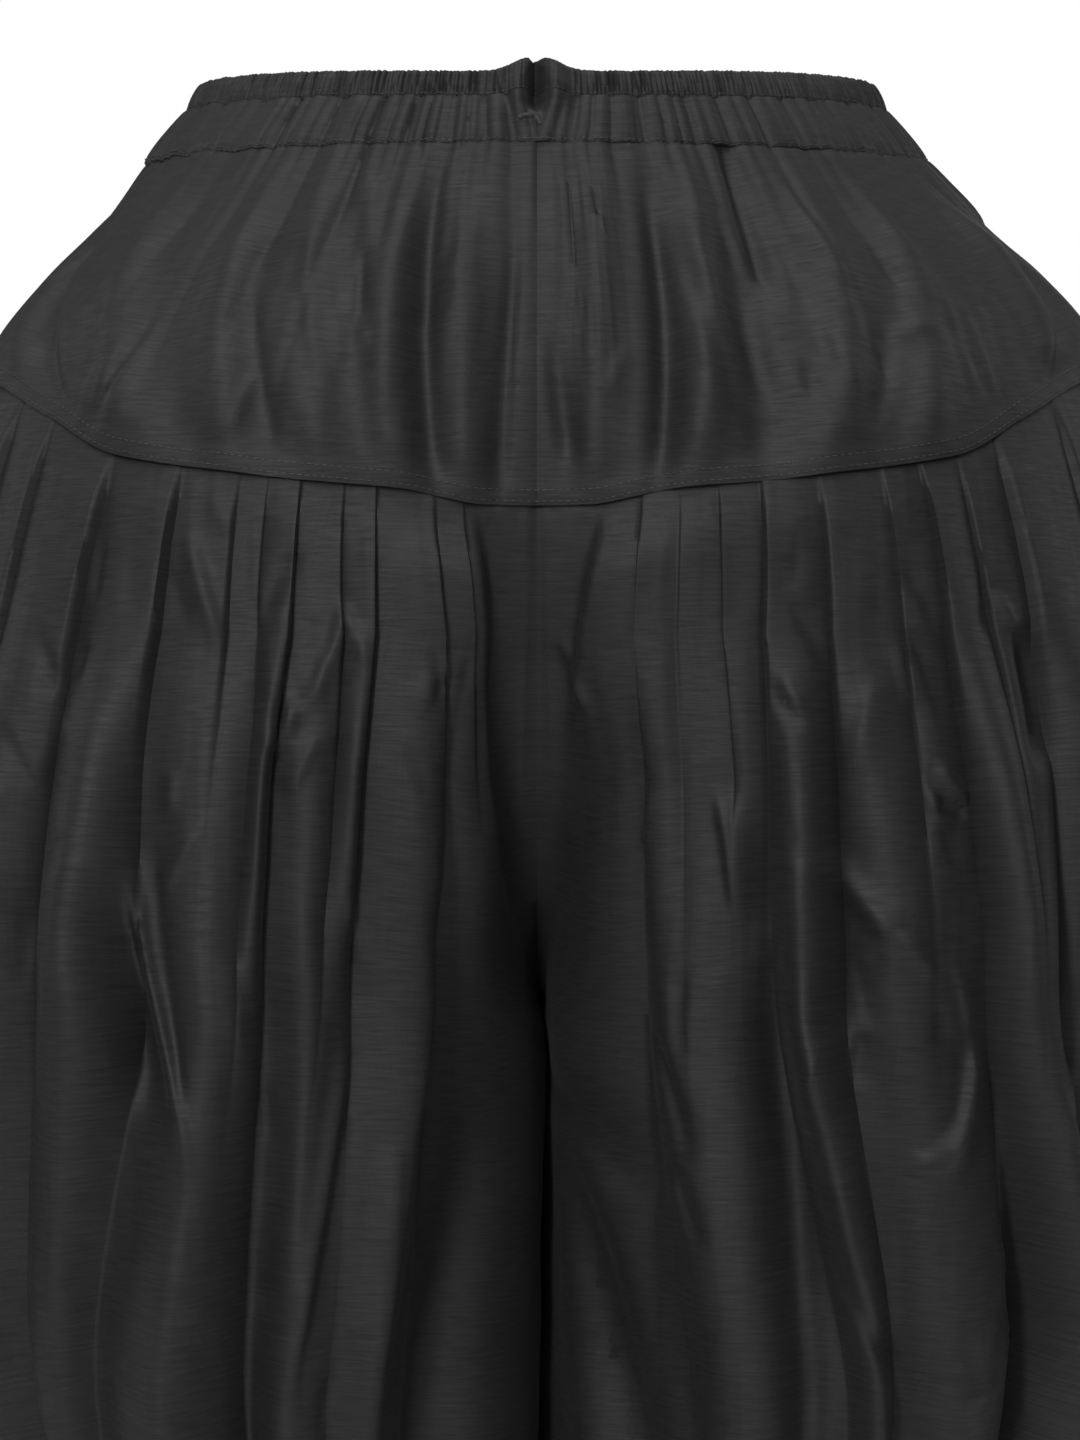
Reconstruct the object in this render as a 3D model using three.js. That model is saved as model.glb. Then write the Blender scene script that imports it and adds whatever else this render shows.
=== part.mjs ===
// A black gathered salwar, held up at the waist and hanging in its worn shape.
// Millimetres, +Z up, the front facing -Y. The origin is the middle of the waist, level with the drawstring.
import * as THREE from "three";

const WALL = 2;
const SEAM_GAP = 0.3;

// Straight facets cut the curved yoke seam short by up to this much, so the legs start lower by it.
const SEAM_SAG = 0.2;

// Levels, as drops below the top edge of the waist.
const FRILL_DROP = 12;
const HELD_DROP = 24;
const CASING_DROP = 35;
const YOKE_CENTRE_DROP = 187;
const CROTCH_DROP = 402;
const HEM_DROP = 980;

// Names the columns of a table, so that each row becomes an object.
function table(columns, rows) {
  return rows.map((row) => Object.fromEntries(columns.map((column, i) => [column, row[i]])));
}

// One leg's level oval: its outer and inner edges across the body, and its depth to the front and back.
// Above the crotch the two legs' ovals cross, and soften rounds the valley where they meet.
const SECTIONS = table(["drop", "outer", "inner", "front", "back", "soften"], [
  [0, 147, -147, 104, 102, 24],
  [12, 153, -153, 107, 105, 24],
  [36, 172, -163, 115, 113, 24],
  [60, 192, -163, 124, 121, 24],
  [84, 217, -152, 132, 129, 24],
  [111, 239, -136, 140, 136, 24],
  [140, 254, -114, 147, 142, 24],
  [190, 268, -84, 153, 149, 23],
  [240, 276, -58, 157, 154, 19],
  [300, 281, -33, 160, 158, 13],
  [350, 281, -14, 160, 159, 7],
  [385, 279, -4, 159, 159, 3],
  [402, 277, 1, 158, 158, 1],
  [450, 271, 2, 155, 156, 0],
  [520, 257, 2, 149, 151, 0],
  [566, 244, 2, 143, 145, 0],
  [650, 217, 4, 129, 132, 0],
  [750, 186, 13, 111, 114, 0],
  [850, 161, 25, 90, 93, 0],
  [915, 147, 34, 73, 76, 0],
  [940, 138, 37, 64, 67, 0],
  [980, 137, 38, 62, 64, 0],
]);

// The yoke seam dips at the middle and climbs to the sides. along runs from the middle (0) to the side (0.5).
const YOKE_SEAM = table(["along", "drop"], [
  [0, YOKE_CENTRE_DROP],
  [0.035, 186.4],
  [0.055, 184],
  [0.08, 180.5],
  [0.14, 177],
  [0.19, 173],
  [0.26, 166],
  [0.32, 149],
  [0.4, 132],
  [0.5, 126],
]);

// Pleats below the yoke, from the middle seam to the side seam: where the crease behind each one lies,
// how far it stands out, and the drop at which it has faded away.
const PLEAT_COLUMNS = ["along", "depth", "end"];
const PLEATS = {
  leg_front_right: table(PLEAT_COLUMNS, [
    [0.004, 1, 330],
    [0.043, 6, 360],
    [0.06, 9, 640],
    [0.093, 9, 930],
    [0.114, 8, 930],
    [0.14, 6, 420],
    [0.178, 9, 700],
    [0.214, 12, 940],
    [0.262, 12, 900],
    [0.31, 8, 520],
    [0.35, 10, 880],
    [0.4, 9, 760],
    [0.45, 7, 620],
  ]),
  leg_front_left: table(PLEAT_COLUMNS, [
    [0.004, 1, 330],
    [0.043, 7, 420],
    [0.065, 11, 660],
    [0.104, 9, 940],
    [0.133, 9, 930],
    [0.166, 9, 880],
    [0.202, 7, 420],
    [0.229, 8, 560],
    [0.258, 11, 930],
    [0.3, 11, 900],
    [0.35, 8, 560],
    [0.4, 9, 840],
    [0.45, 7, 620],
  ]),
  leg_back_right: table(PLEAT_COLUMNS, [
    [0.004, 1, 330],
    [0.05, 8, 560],
    [0.084, 9, 920],
    [0.121, 8, 760],
    [0.156, 10, 940],
    [0.197, 8, 480],
    [0.232, 10, 930],
    [0.281, 11, 860],
    [0.325, 8, 600],
    [0.372, 10, 900],
    [0.424, 8, 700],
  ]),
  leg_back_left: table(PLEAT_COLUMNS, [
    [0.004, 1, 330],
    [0.046, 7, 620],
    [0.079, 9, 900],
    [0.118, 9, 940],
    [0.161, 8, 520],
    [0.193, 10, 930],
    [0.24, 10, 880],
    [0.276, 9, 640],
    [0.33, 11, 940],
    [0.38, 8, 540],
    [0.43, 9, 760],
  ]),
};

// Soft folds of the yoke, from the front middle (0) round the side (0.5) to the back middle (1).
const FOLD_COLUMNS = ["along", "width", "depth"];
const YOKE_FOLDS = {
  yoke_right: table(FOLD_COLUMNS, [
    [0.045, 0.024, 3],
    [0.1, 0.026, 4],
    [0.155, 0.028, 5],
    [0.215, 0.026, 4],
    [0.268, 0.026, 6],
    [0.325, 0.03, 5],
    [0.39, 0.032, 6],
    [0.46, 0.034, 5],
    [0.53, 0.032, 5],
    [0.595, 0.03, 6],
    [0.66, 0.03, 4],
    [0.73, 0.032, 6],
    [0.8, 0.03, 5],
    [0.87, 0.03, 5],
    [0.94, 0.026, 4],
  ]),
  yoke_left: table(FOLD_COLUMNS, [
    [0.05, 0.022, 4],
    [0.105, 0.028, 3],
    [0.165, 0.028, 6],
    [0.225, 0.028, 5],
    [0.285, 0.028, 5],
    [0.345, 0.03, 6],
    [0.41, 0.032, 5],
    [0.48, 0.034, 6],
    [0.55, 0.032, 5],
    [0.615, 0.03, 5],
    [0.68, 0.03, 6],
    [0.745, 0.03, 4],
    [0.815, 0.032, 5],
    [0.88, 0.03, 5],
    [0.945, 0.026, 3],
  ]),
};

// Gathered bands of the waist, one row for each level: the waves' depth, and half the slit at the middle front.
const BAND_COLUMNS = ["drop", "depth", "slit"];
const FRILL_WAVES = 64;
const FRILL_LEVELS = table(BAND_COLUMNS, [
  [0, 2.2, 2],
  [FRILL_DROP, 1.7, 1.2],
]);
const CASING_WAVES = 44;
const CASING_LEVELS = table(BAND_COLUMNS, [
  [FRILL_DROP + SEAM_GAP, 1.9, 1.2],
  [20, 2.9, SEAM_GAP / 2],
  [CASING_DROP, 2, SEAM_GAP / 2],
]);
const WAVE_STEPS = 3;

// The cloth bunches up beside the slit, so the top edge stands higher there.
const BUNCH = { rise: 5, halfWidth: 12 };

const CLOTH = { color: 0x1a1a1c, roughness: 0.5, metalness: 0 };
const CLOTH_BAND = { color: 0x222225, roughness: 0.55, metalness: 0 };

function smoothstep(from, to, value) {
  const t = Math.min(1, Math.max(0, (value - from) / (to - from)));
  return t * t * (3 - 2 * t);
}

// Reads one column of a table between its rows, with a curve that never overshoots them.
function readTable(rows, key, column, value) {
  const last = rows.length - 1;
  const clamped = Math.min(rows[last][key], Math.max(rows[0][key], value));
  let i = 0;
  while (i < last - 1 && clamped > rows[i + 1][key]) i += 1;
  const rise = (k) => (rows[k + 1][column] - rows[k][column]) / (rows[k + 1][key] - rows[k][key]);
  const slope = (k) => {
    if (k === 0) return rise(0);
    if (k === last) return rise(last - 1);
    return rise(k - 1) * rise(k) > 0 ? 2 / (1 / rise(k - 1) + 1 / rise(k)) : 0;
  };
  const span = rows[i + 1][key] - rows[i][key];
  const t = (clamped - rows[i][key]) / span;
  const atStart = rows[i][column] * (1 + 2 * t) * (1 - t) ** 2;
  const atEnd = rows[i + 1][column] * t * t * (3 - 2 * t);
  return atStart + atEnd + span * (slope(i) * t * (1 - t) ** 2 + slope(i + 1) * t * t * (t - 1));
}

// The right half of the level section at one drop, as points evenly placed by angle with their running length.
const SECTION_STEPS = 240;
function halfSection(drop) {
  const [outer, inner, front, back, soften] = ["outer", "inner", "front", "back", "soften"].map((column) =>
    readTable(SECTIONS, "drop", column, drop),
  );
  const radius = (outer - inner) / 2;
  const middle = (outer + inner) / 2;
  const start = Math.acos(Math.max(-1, (Math.max(soften, inner) - middle) / radius));
  const points = [];
  let length = 0;
  for (let i = 0; i <= SECTION_STEPS; i += 1) {
    const angle = start * (1 - (2 * i) / SECTION_STEPS);
    const reach = middle + radius * Math.cos(angle);
    const x = Math.sqrt(Math.max(0, reach * reach - soften * soften));
    const y = -(angle > 0 ? front : back) * Math.sin(angle);
    if (i > 0) length += Math.hypot(x - points[i - 1].x, y - points[i - 1].y);
    points.push({ x, y, length });
  }
  return points;
}

// The share of the section that the inside of the leg takes up. It comes out of the cloth beside the middle
// seam, so the pleats hang straight past the crotch and lie at the front and back of the leg.
const INSIDE_LEG = table(["drop", "share"], [
  [240, 0],
  [290, 0.02],
  [330, 0.06],
  [370, 0.105],
  [393, 0.16],
  [410, 0.22],
  [450, 0.24],
  [510, 0.27],
  [570, 0.31],
  [HEM_DROP, 0.31],
]);
const INSIDE_REACH = 0.12;
function shareOf(along, drop) {
  const fromMiddle = Math.min(along, 1 - along);
  const inside = readTable(INSIDE_LEG, "drop", "share", drop);
  const stretch = Math.max(0, 1 - fromMiddle / INSIDE_REACH) ** 2;
  const share = 0.5 - (0.5 - fromMiddle) * (1 - inside) - 0.5 * inside * stretch;
  return along > 0.5 ? 1 - share : share;
}

// A point of the smooth right half of the garment.
function smoothPoint(along, drop) {
  const points = halfSection(drop);
  const wanted = shareOf(along, drop) * points[SECTION_STEPS].length;
  let i = 0;
  while (i < SECTION_STEPS - 1 && points[i + 1].length < wanted) i += 1;
  const t = (wanted - points[i].length) / (points[i + 1].length - points[i].length);
  const x = points[i].x + t * (points[i + 1].x - points[i].x);
  const y = points[i].y + t * (points[i + 1].y - points[i].y);
  return new THREE.Vector3(x, y, HELD_DROP - drop);
}

// The outward direction there. On the middle seam it has no sideways part, on the inside leg seam only that,
// and at the crotch point it looks straight down.
const PROBE = 0.004;
const PROBE_DROP = 3;
function outward(along, drop) {
  const across = smoothPoint(Math.min(1, along + PROBE), drop).sub(smoothPoint(Math.max(0, along - PROBE), drop));
  const down = smoothPoint(along, drop + PROBE_DROP).sub(smoothPoint(along, drop - PROBE_DROP));
  const normal = across.cross(down).negate();
  const onSeam = along < PROBE || along > 1 - PROBE;
  if (onSeam && Math.abs(drop - CROTCH_DROP) < 2) return new THREE.Vector3(0, 0, -1);
  if (onSeam && drop < CROTCH_DROP) normal.x = 0;
  if (onSeam && drop > CROTCH_DROP) normal.y = 0;
  return normal.normalize();
}

// Outer and inner points of the cloth wall at one place, raised by a fold's height. side is 1 or -1.
function wallPair(along, drop, height, side) {
  const place = smoothPoint(along, drop);
  place.x = Math.max(place.x, SEAM_GAP / 2);
  const normal = outward(along, drop);
  const outer = place.clone().addScaledVector(normal, height);
  const inner = place.clone().addScaledVector(normal, height - WALL);
  for (const point of [outer, inner]) {
    point.x = side * Math.max(point.x, SEAM_GAP / 2);
  }
  return [outer, inner];
}

// A closed wall between a grid of outer points and one of inner points. A mirrored grid has its faces turned round.
function wallMesh(name, grid, finish, mirrored = false) {
  const rows = grid.length;
  const columns = grid[0].length;
  const positions = grid.flat().flatMap(([outer, inner]) => [...outer.toArray(), ...inner.toArray()]);
  const index = [];
  const at = (row, column, layer) => 2 * (row * columns + column) + layer;
  const quad = (a, b, c, d) => (mirrored ? index.push(a, c, b, a, d, c) : index.push(a, b, c, a, c, d));
  for (let c = 0; c < columns - 1; c += 1) {
    for (let r = 0; r < rows - 1; r += 1) {
      quad(at(r, c, 0), at(r + 1, c, 0), at(r + 1, c + 1, 0), at(r, c + 1, 0));
      quad(at(r, c, 1), at(r, c + 1, 1), at(r + 1, c + 1, 1), at(r + 1, c, 1));
    }
    quad(at(0, c, 1), at(0, c, 0), at(0, c + 1, 0), at(0, c + 1, 1));
    quad(at(rows - 1, c, 0), at(rows - 1, c, 1), at(rows - 1, c + 1, 1), at(rows - 1, c + 1, 0));
  }
  for (let r = 0; r < rows - 1; r += 1) {
    quad(at(r, 0, 0), at(r, 0, 1), at(r + 1, 0, 1), at(r + 1, 0, 0));
    quad(at(r, columns - 1, 1), at(r, columns - 1, 0), at(r + 1, columns - 1, 0), at(r + 1, columns - 1, 1));
  }
  const geometry = new THREE.BufferGeometry();
  geometry.setAttribute("position", new THREE.Float32BufferAttribute(positions, 3));
  geometry.setIndex(index);
  geometry.computeVertexNormals();
  const mesh = new THREE.Mesh(geometry, new THREE.MeshStandardMaterial(finish));
  mesh.name = name;
  return mesh;
}

// Places round the whole waist: 0 to 1 is the right half from front to back, 1 to 2 the left half back again.
function waistPair(round, drop, height) {
  return round <= 1 ? wallPair(round, drop, height, 1) : wallPair(2 - round, drop, height, -1);
}

// Gathered cloth round the waist, with waves of uneven depth, from one side of the slit round to the other.
function gatheredBand(name, waves, levels) {
  const steps = waves * WAVE_STEPS;
  const halfLength = halfSection(levels[0].drop)[SECTION_STEPS].length;
  const grid = levels.map(({ drop, depth, slit }) => {
    const edge = slit / halfLength;
    const pairs = [];
    for (let i = 0; i <= steps; i += 1) {
      const wave = Math.floor(i / WAVE_STEPS);
      const uneven = 0.72 + 0.28 * Math.sin(2.4 * wave) * Math.cos(1.1 * wave);
      const height = depth * uneven * Math.sin((2 * Math.PI * i) / WAVE_STEPS);
      const round = edge + ((2 - 2 * edge) * i) / steps;
      const fromFront = Math.min(round, 2 - round) * halfLength;
      const rise = drop === 0 ? BUNCH.rise * Math.exp(-((fromFront / BUNCH.halfWidth) ** 2)) : 0;
      const pair = waistPair(round, drop, height);
      pair.forEach((point) => {
        point.z += rise;
      });
      pairs.push(pair);
    }
    return pairs;
  });
  return wallMesh(name, grid, CLOTH_BAND);
}

// Half of the yoke, from the middle front seam round the side to the middle back seam.
const YOKE_STEPS = 64;
const YOKE_ROWS = [0, 0.14, 0.4, 0.68, 0.9, 1];
function yoke(name, side) {
  const grid = YOKE_ROWS.map((level) => {
    const pairs = [];
    for (let i = 0; i <= YOKE_STEPS; i += 1) {
      const along = i / YOKE_STEPS;
      const top = CASING_DROP + SEAM_GAP;
      const bottom = seamDrop(along) - SEAM_GAP / 2;
      const drop = top + level * (bottom - top);
      const standing = 0.35 + 0.65 * Math.sin(Math.PI * Math.min(1, level + 0.12));
      const height = YOKE_FOLDS[name].reduce(
        (sum, fold) => sum + fold.depth * standing * Math.exp(-(((along - fold.along) / fold.width) ** 2) * 2),
        0,
      );
      pairs.push(wallPair(along, drop, height, side));
    }
    return pairs;
  });
  return wallMesh(name, grid, CLOTH, side < 0);
}

function seamDrop(along) {
  return readTable(YOKE_SEAM, "along", "drop", Math.min(along, 1 - along));
}

// One pleated leg panel, from the middle seam or the inside leg to the side seam.
// Each pleat has a column in its crease, one on its crest and one on its long slope.
const PLEAT_PROFILE = table(["phase", "height"], [
  [0, 0],
  [0.3, 1],
  [0.65, 0.6],
]);
const LEG_LEVELS = [YOKE_CENTRE_DROP, 215, 260, 310, 355, 384, CROTCH_DROP, 445, 530, 650, 790, 915, HEM_DROP];
const SIDE_SEAM = 0.5;
function legPanel(name, side, back) {
  const pleats = PLEATS[name];
  const columns = [{ along: 0, height: () => 0 }];
  pleats.forEach((pleat, i) => {
    const next = i + 1 < pleats.length ? pleats[i + 1].along : SIDE_SEAM;
    PLEAT_PROFILE.forEach(({ phase, height }) => {
      const along = pleat.along + phase * (next - pleat.along);
      columns.push({ along, height: (drop) => height * pleatDepth(pleat, drop) });
    });
  });
  columns.push({ along: SIDE_SEAM, height: () => 0 });
  const grid = LEG_LEVELS.map((level) =>
    columns.map(({ along, height }) => {
      const top = seamDrop(along) + SEAM_GAP / 2 + SEAM_SAG;
      const share = (level - YOKE_CENTRE_DROP) / (HEM_DROP - YOKE_CENTRE_DROP);
      const drop = top + share * (HEM_DROP - top);
      const place = Math.min(along, SIDE_SEAM - sideGap(drop));
      return legPair(back ? 1 - place : place, drop, height(drop), side);
    }),
  );
  return wallMesh(name, grid, CLOTH, (side < 0) !== back);
}

// How far a leg panel's edge keeps from the side seam at one drop, as a share along.
function sideGap(drop) {
  const cloth = halfSection(drop)[SECTION_STEPS].length * (1 - readTable(INSIDE_LEG, "drop", "share", drop));
  return SEAM_GAP / 2 / cloth;
}

function pleatDepth(pleat, drop) {
  const opening = 0.35 + 0.65 * smoothstep(0, 60, drop - YOKE_CENTRE_DROP);
  const fading = 1 - smoothstep(pleat.end - 160, pleat.end, drop);
  return pleat.depth * opening * fading;
}

// Below the crotch the front and back panels part at the inside leg seam.
function legPair(along, drop, height, side) {
  const pair = wallPair(along, drop, height, side);
  if (along > PROBE && along < 1 - PROBE) return pair;
  const gap = along < 0.5 ? -SEAM_GAP / 2 : SEAM_GAP / 2;
  pair.forEach((point) => {
    if (drop > CROTCH_DROP - 2) point.y = gap;
  });
  return pair;
}

const salwar = new THREE.Group();
salwar.add(
  gatheredBand("waist_frill", FRILL_WAVES, FRILL_LEVELS),
  gatheredBand("drawstring_casing", CASING_WAVES, CASING_LEVELS),
  yoke("yoke_right", -1),
  yoke("yoke_left", 1),
  legPanel("leg_front_right", -1, false),
  legPanel("leg_front_left", 1, false),
  legPanel("leg_back_right", -1, true),
  legPanel("leg_back_left", 1, true),
);

export default salwar;
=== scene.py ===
# %% [markdown]
# This lesson makes the looks of a black salwar: a drawstring waist, a deep yoke and full pleated legs.
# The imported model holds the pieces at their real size. Here each piece of cloth becomes a thin shell on the
# same form, with its pleats, gathers and creases, and gets its weave and its stitches.

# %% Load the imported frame
import math

import bpy
import numpy as np
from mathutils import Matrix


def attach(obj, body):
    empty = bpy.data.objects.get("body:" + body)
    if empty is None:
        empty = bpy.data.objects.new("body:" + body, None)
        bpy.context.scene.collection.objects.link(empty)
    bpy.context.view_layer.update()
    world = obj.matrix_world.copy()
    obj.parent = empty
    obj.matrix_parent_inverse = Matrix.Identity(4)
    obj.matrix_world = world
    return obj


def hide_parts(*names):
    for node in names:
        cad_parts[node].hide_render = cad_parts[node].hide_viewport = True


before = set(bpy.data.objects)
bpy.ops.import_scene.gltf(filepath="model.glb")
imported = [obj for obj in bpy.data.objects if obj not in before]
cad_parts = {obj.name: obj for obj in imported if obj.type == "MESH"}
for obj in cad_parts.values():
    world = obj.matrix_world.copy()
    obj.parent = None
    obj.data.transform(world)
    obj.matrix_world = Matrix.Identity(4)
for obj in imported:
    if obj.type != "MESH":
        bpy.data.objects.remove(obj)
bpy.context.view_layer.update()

MM = 0.001

# %% [markdown]
# The camera comes first. It stands level in front of the garment, a little below the yoke seam. A long lens
# keeps the sides straight, as in the picture.
# One pixel of the 1080 by 1440 frame covers 0.435 mm at the waist's middle plane.

# %% Place the camera
CAMERA_AWAY = 2.5
CAMERA_HEIGHT = -0.251
CAMERA_SIDE = 0.0013
MM_PER_PIXEL = 0.435
FRAME_HEIGHT_PIXELS = 1440
SENSOR_MM = 36

camera_data = bpy.data.cameras.new("camera")
camera_data.sensor_width = SENSOR_MM
camera_data.lens = SENSOR_MM * CAMERA_AWAY / (MM_PER_PIXEL * MM * FRAME_HEIGHT_PIXELS)
camera = bpy.data.objects.new("camera", camera_data)
camera.location = (CAMERA_SIDE, -CAMERA_AWAY, CAMERA_HEIGHT)
camera.rotation_euler = (math.pi / 2, 0, 0)
bpy.context.scene.collection.objects.link(camera)
bpy.context.scene.camera = camera
print("lens", round(camera_data.lens, 1), "mm")

# %% [markdown]
# A garment is easiest to describe by level sections, as a pattern cutter measures it: so wide, so deep, at
# such a drop below the waist. Each leg is an oval. Above the crotch the two ovals cross, and a soft valley
# joins them into one ring. The tables give a few sections and the curve between them never overshoots.

# %% Sizes and sections, in millimetres
HELD_DROP = 24
FRILL_DROP = 12
CASING_DROP = 35
YOKE_CENTRE_DROP = 187
CROTCH_DROP = 402
HEM_DROP = 980


def table(columns, rows):
    """Rows of numbers under named columns."""
    return {column: np.array([row[i] for row in rows], float) for i, column in enumerate(columns)}


def each_row(rows):
    """The rows of a table one by one, as dictionaries."""
    return [dict(zip(rows, values)) for values in zip(*rows.values())]


SECTIONS = table(("drop", "outer", "inner", "front", "back", "soften"), [
    (0, 147, -147, 104, 102, 24),
    (12, 153, -153, 107, 105, 24),
    (36, 172, -163, 115, 113, 24),
    (60, 192, -163, 124, 121, 24),
    (84, 217, -152, 132, 129, 24),
    (111, 239, -136, 140, 136, 24),
    (140, 254, -114, 147, 142, 24),
    (190, 268, -84, 153, 149, 23),
    (240, 276, -58, 157, 154, 19),
    (300, 281, -33, 160, 158, 13),
    (350, 281, -12, 160, 159, 7),
    (375, 280, -3.6, 159.4, 159, 4),
    (390, 278.5, -0.8, 158.8, 158.6, 2),
    (402, 277.5, 0.4, 158.2, 158.2, 0.4),
    (420, 275.5, 0.8, 157.2, 157.5, 0),
    (450, 271, 0.8, 155, 156, 0),
    (520, 257, 0.8, 149, 151, 0),
    (566, 244, 0.8, 143, 145, 0),
    (650, 217, 2, 129, 132, 0),
    (750, 186, 11, 111, 114, 0),
    (850, 161, 25, 90, 93, 0),
    (915, 147, 34, 73, 76, 0),
    (940, 138, 37, 64, 67, 0),
    (980, 137, 38, 62, 64, 0),
])
YOKE_SEAM = table(("along", "drop"), [
    (0, YOKE_CENTRE_DROP), (0.035, 186.4), (0.055, 184), (0.08, 180.5), (0.14, 177), (0.19, 173),
    (0.26, 166), (0.32, 149), (0.4, 132), (0.5, 126),
])
OUTSIDE_LEG = table(("drop", "length"), [
    (240, 365.1), (290, 371), (330, 371), (370, 369), (402, 364), (450, 347), (510, 320),
    (570, 288), (650, 257), (750, 216), (850, 173.5), (915, 142.5), (HEM_DROP, 122.4),
])
INSIDE_REACH = 0.042
print(len(SECTIONS["drop"]), "sections down to", HEM_DROP, "mm")

# %% [markdown]
# A table is read between its rows by a cubic curve whose slope never turns the other way, so that the worn
# form has no dents that the cutter didn't ask for. Three small helpers shape every fold later on.

# %% Read a table smoothly


def smoothstep(start, end, value):
    """0 up to the start, 1 from the end on, and a soft rise between them."""
    t = np.clip((value - start) / (end - start), 0, 1)
    return t * t * (3 - 2 * t)


def between(start, full, fading, end, value):
    """A soft rise from start to full and a soft fall from fading to end."""
    return smoothstep(start, full, value) * (1 - smoothstep(fading, end, value))


def hump(value, width):
    """1 at 0, falling off softly to both sides over about the width."""
    return np.exp(-((value / width) ** 2))


def read(rows, key, column, value):
    """A column of a table at any value of its key, by a curve that keeps to the rows' rise and fall."""
    xs, ys = rows[key], rows[column]
    rise = np.diff(ys) / np.diff(xs)
    slope = np.concatenate([rise[:1], np.zeros(len(ys) - 2), rise[-1:]])
    same_way = rise[:-1] * rise[1:] > 0
    pairs = rise[:-1][same_way], rise[1:][same_way]
    slope[1:-1][same_way] = 2 * pairs[0] * pairs[1] / (pairs[0] + pairs[1])
    value = np.clip(value, xs[0], xs[-1])
    i = np.clip(np.searchsorted(xs, value, side="right") - 1, 0, len(rise) - 1)
    span = xs[i + 1] - xs[i]
    t = (value - xs[i]) / span
    ends = ys[i] * (1 + 2 * t) * (1 - t) ** 2 + ys[i + 1] * t * t * (3 - 2 * t)
    return ends + span * (slope[i] * t * (1 - t) ** 2 + slope[i + 1] * t * t * (t - 1))


# %% [markdown]
# The smooth form is worked out once, as a lattice: for every millimetre of drop, the points at even steps of
# length round the left half. Every piece then asks the lattice where its cloth lies. The inside of the leg
# takes a growing share of the length below the crotch, because the cloth has to go round each leg there.

# %% Lay out the smooth form once, level by level
ANGLES = 481
SHARES = 641


def form_lattice():
    """x and y of the smooth left half for every millimetre of drop, at even steps of length round it."""
    drops = np.arange(HEM_DROP + 1.0)
    columns = ("outer", "inner", "front", "back", "soften")
    outer, inner, front, back, soften = (read(SECTIONS, "drop", name, drops)[:, None] for name in columns)
    radius, middle = (outer - inner) / 2, (outer + inner) / 2
    start = np.arccos(np.clip((np.maximum(soften, inner) - middle) / radius, -1, 1))
    angle = start * np.linspace(1, -1, ANGLES)
    reach = middle + radius * np.cos(angle)
    x = np.sqrt(np.maximum(0, reach**2 - soften**2))
    y = -np.where(angle > 0, front, back) * np.sin(angle)
    steps = np.hypot(np.diff(x), np.diff(y))
    length = np.concatenate([np.zeros((len(drops), 1)), np.cumsum(steps, axis=1)], axis=1)
    shares = np.linspace(0, 1, SHARES)
    even = [[np.interp(shares * l[-1], l, v) for l, v in zip(length, values)] for values in (x, y)]
    inside = 1 - read(OUTSIDE_LEG, "drop", "length", drops) / (length[:, -1] / 2)
    inside = np.where(drops < OUTSIDE_LEG["drop"][0], 0, np.maximum(inside, 0))
    return np.array(even[0]), np.array(even[1]), inside, length[:, -1]


LATTICE_X, LATTICE_Y, INSIDE, LENGTHS = form_lattice()
print("lattice", LATTICE_X.shape)


def share_of(along, drop):
    """The share of the section's length at one place of the cloth: the inside of the leg takes its part."""
    from_middle = np.minimum(along, 1 - along)
    inside = np.interp(drop, np.arange(HEM_DROP + 1.0), INSIDE)
    stretch = np.maximum(0, 1 - from_middle / INSIDE_REACH) ** 2
    share = 0.5 - (0.5 - from_middle) * (1 - inside) - 0.5 * inside * stretch
    return np.where(along > 0.5, 1 - share, share)


def smooth_points(along, drop):
    """Points of the smooth left half. Along is 0 at the middle front, 0.5 at the side and 1 at the back."""
    row = np.clip(drop, 0, HEM_DROP - 0.001)
    column = np.clip(share_of(along, row), 0, 1) * (SHARES - 1.001)
    r, c = row.astype(int), column.astype(int)
    fr, fc = row - r, column - c
    corners = [
        (r, c, (1 - fr) * (1 - fc)),
        (r, c + 1, (1 - fr) * fc),
        (r + 1, c, fr * (1 - fc)),
        (r + 1, c + 1, fr * fc),
    ]
    x = sum(LATTICE_X[i, j] * share for i, j, share in corners)
    y = sum(LATTICE_Y[i, j] * share for i, j, share in corners)
    return np.stack([x, y, HELD_DROP - drop], axis=-1)


def cloth_place(along, drop):
    """Where a point lies on the flat cloth, in metres: across from the side and down."""
    across = (share_of(along, drop) - 0.5) * LENGTHS[np.clip(drop, 0, HEM_DROP).astype(int)]
    return np.stack([across, drop], axis=-1) * MM


def seam_drop(along):
    """How far below the top edge the yoke's seam lies at one place round the hips."""
    return read(YOKE_SEAM, "along", "drop", np.minimum(along, 1 - along))


# %% [markdown]
# Folds are heights added to the smooth form, measured straight out from it. Four kinds are enough. A pleat is
# a knife edge at the yoke seam that opens into a round fold. A stroke is one crease or ridge put where the
# photograph shows it, with a soft side and a sharp side. A gather is a row of waves of uneven pitch. A ripple
# is a slow chance unevenness, because real cloth has no perfectly straight fold.

# %% Helpers for folds
GIRTH = 700
RIPPLE_CELLS = 64
STROKE_COLUMNS = ("start", "start_drop", "end", "end_drop", "bow", "near", "far", "height")
STROKE_TAPER = 0.3
SMALL_PLACE = (0.04, 0.47)
SMALL_RUN = (16, 60)
SMALL_SLANT = 0.55
SMALL_HEIGHT = (0.9, 2.1)
SMALL_NEAR = (2, 3.5)
SMALL_FAR = (2.5, 7)


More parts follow.
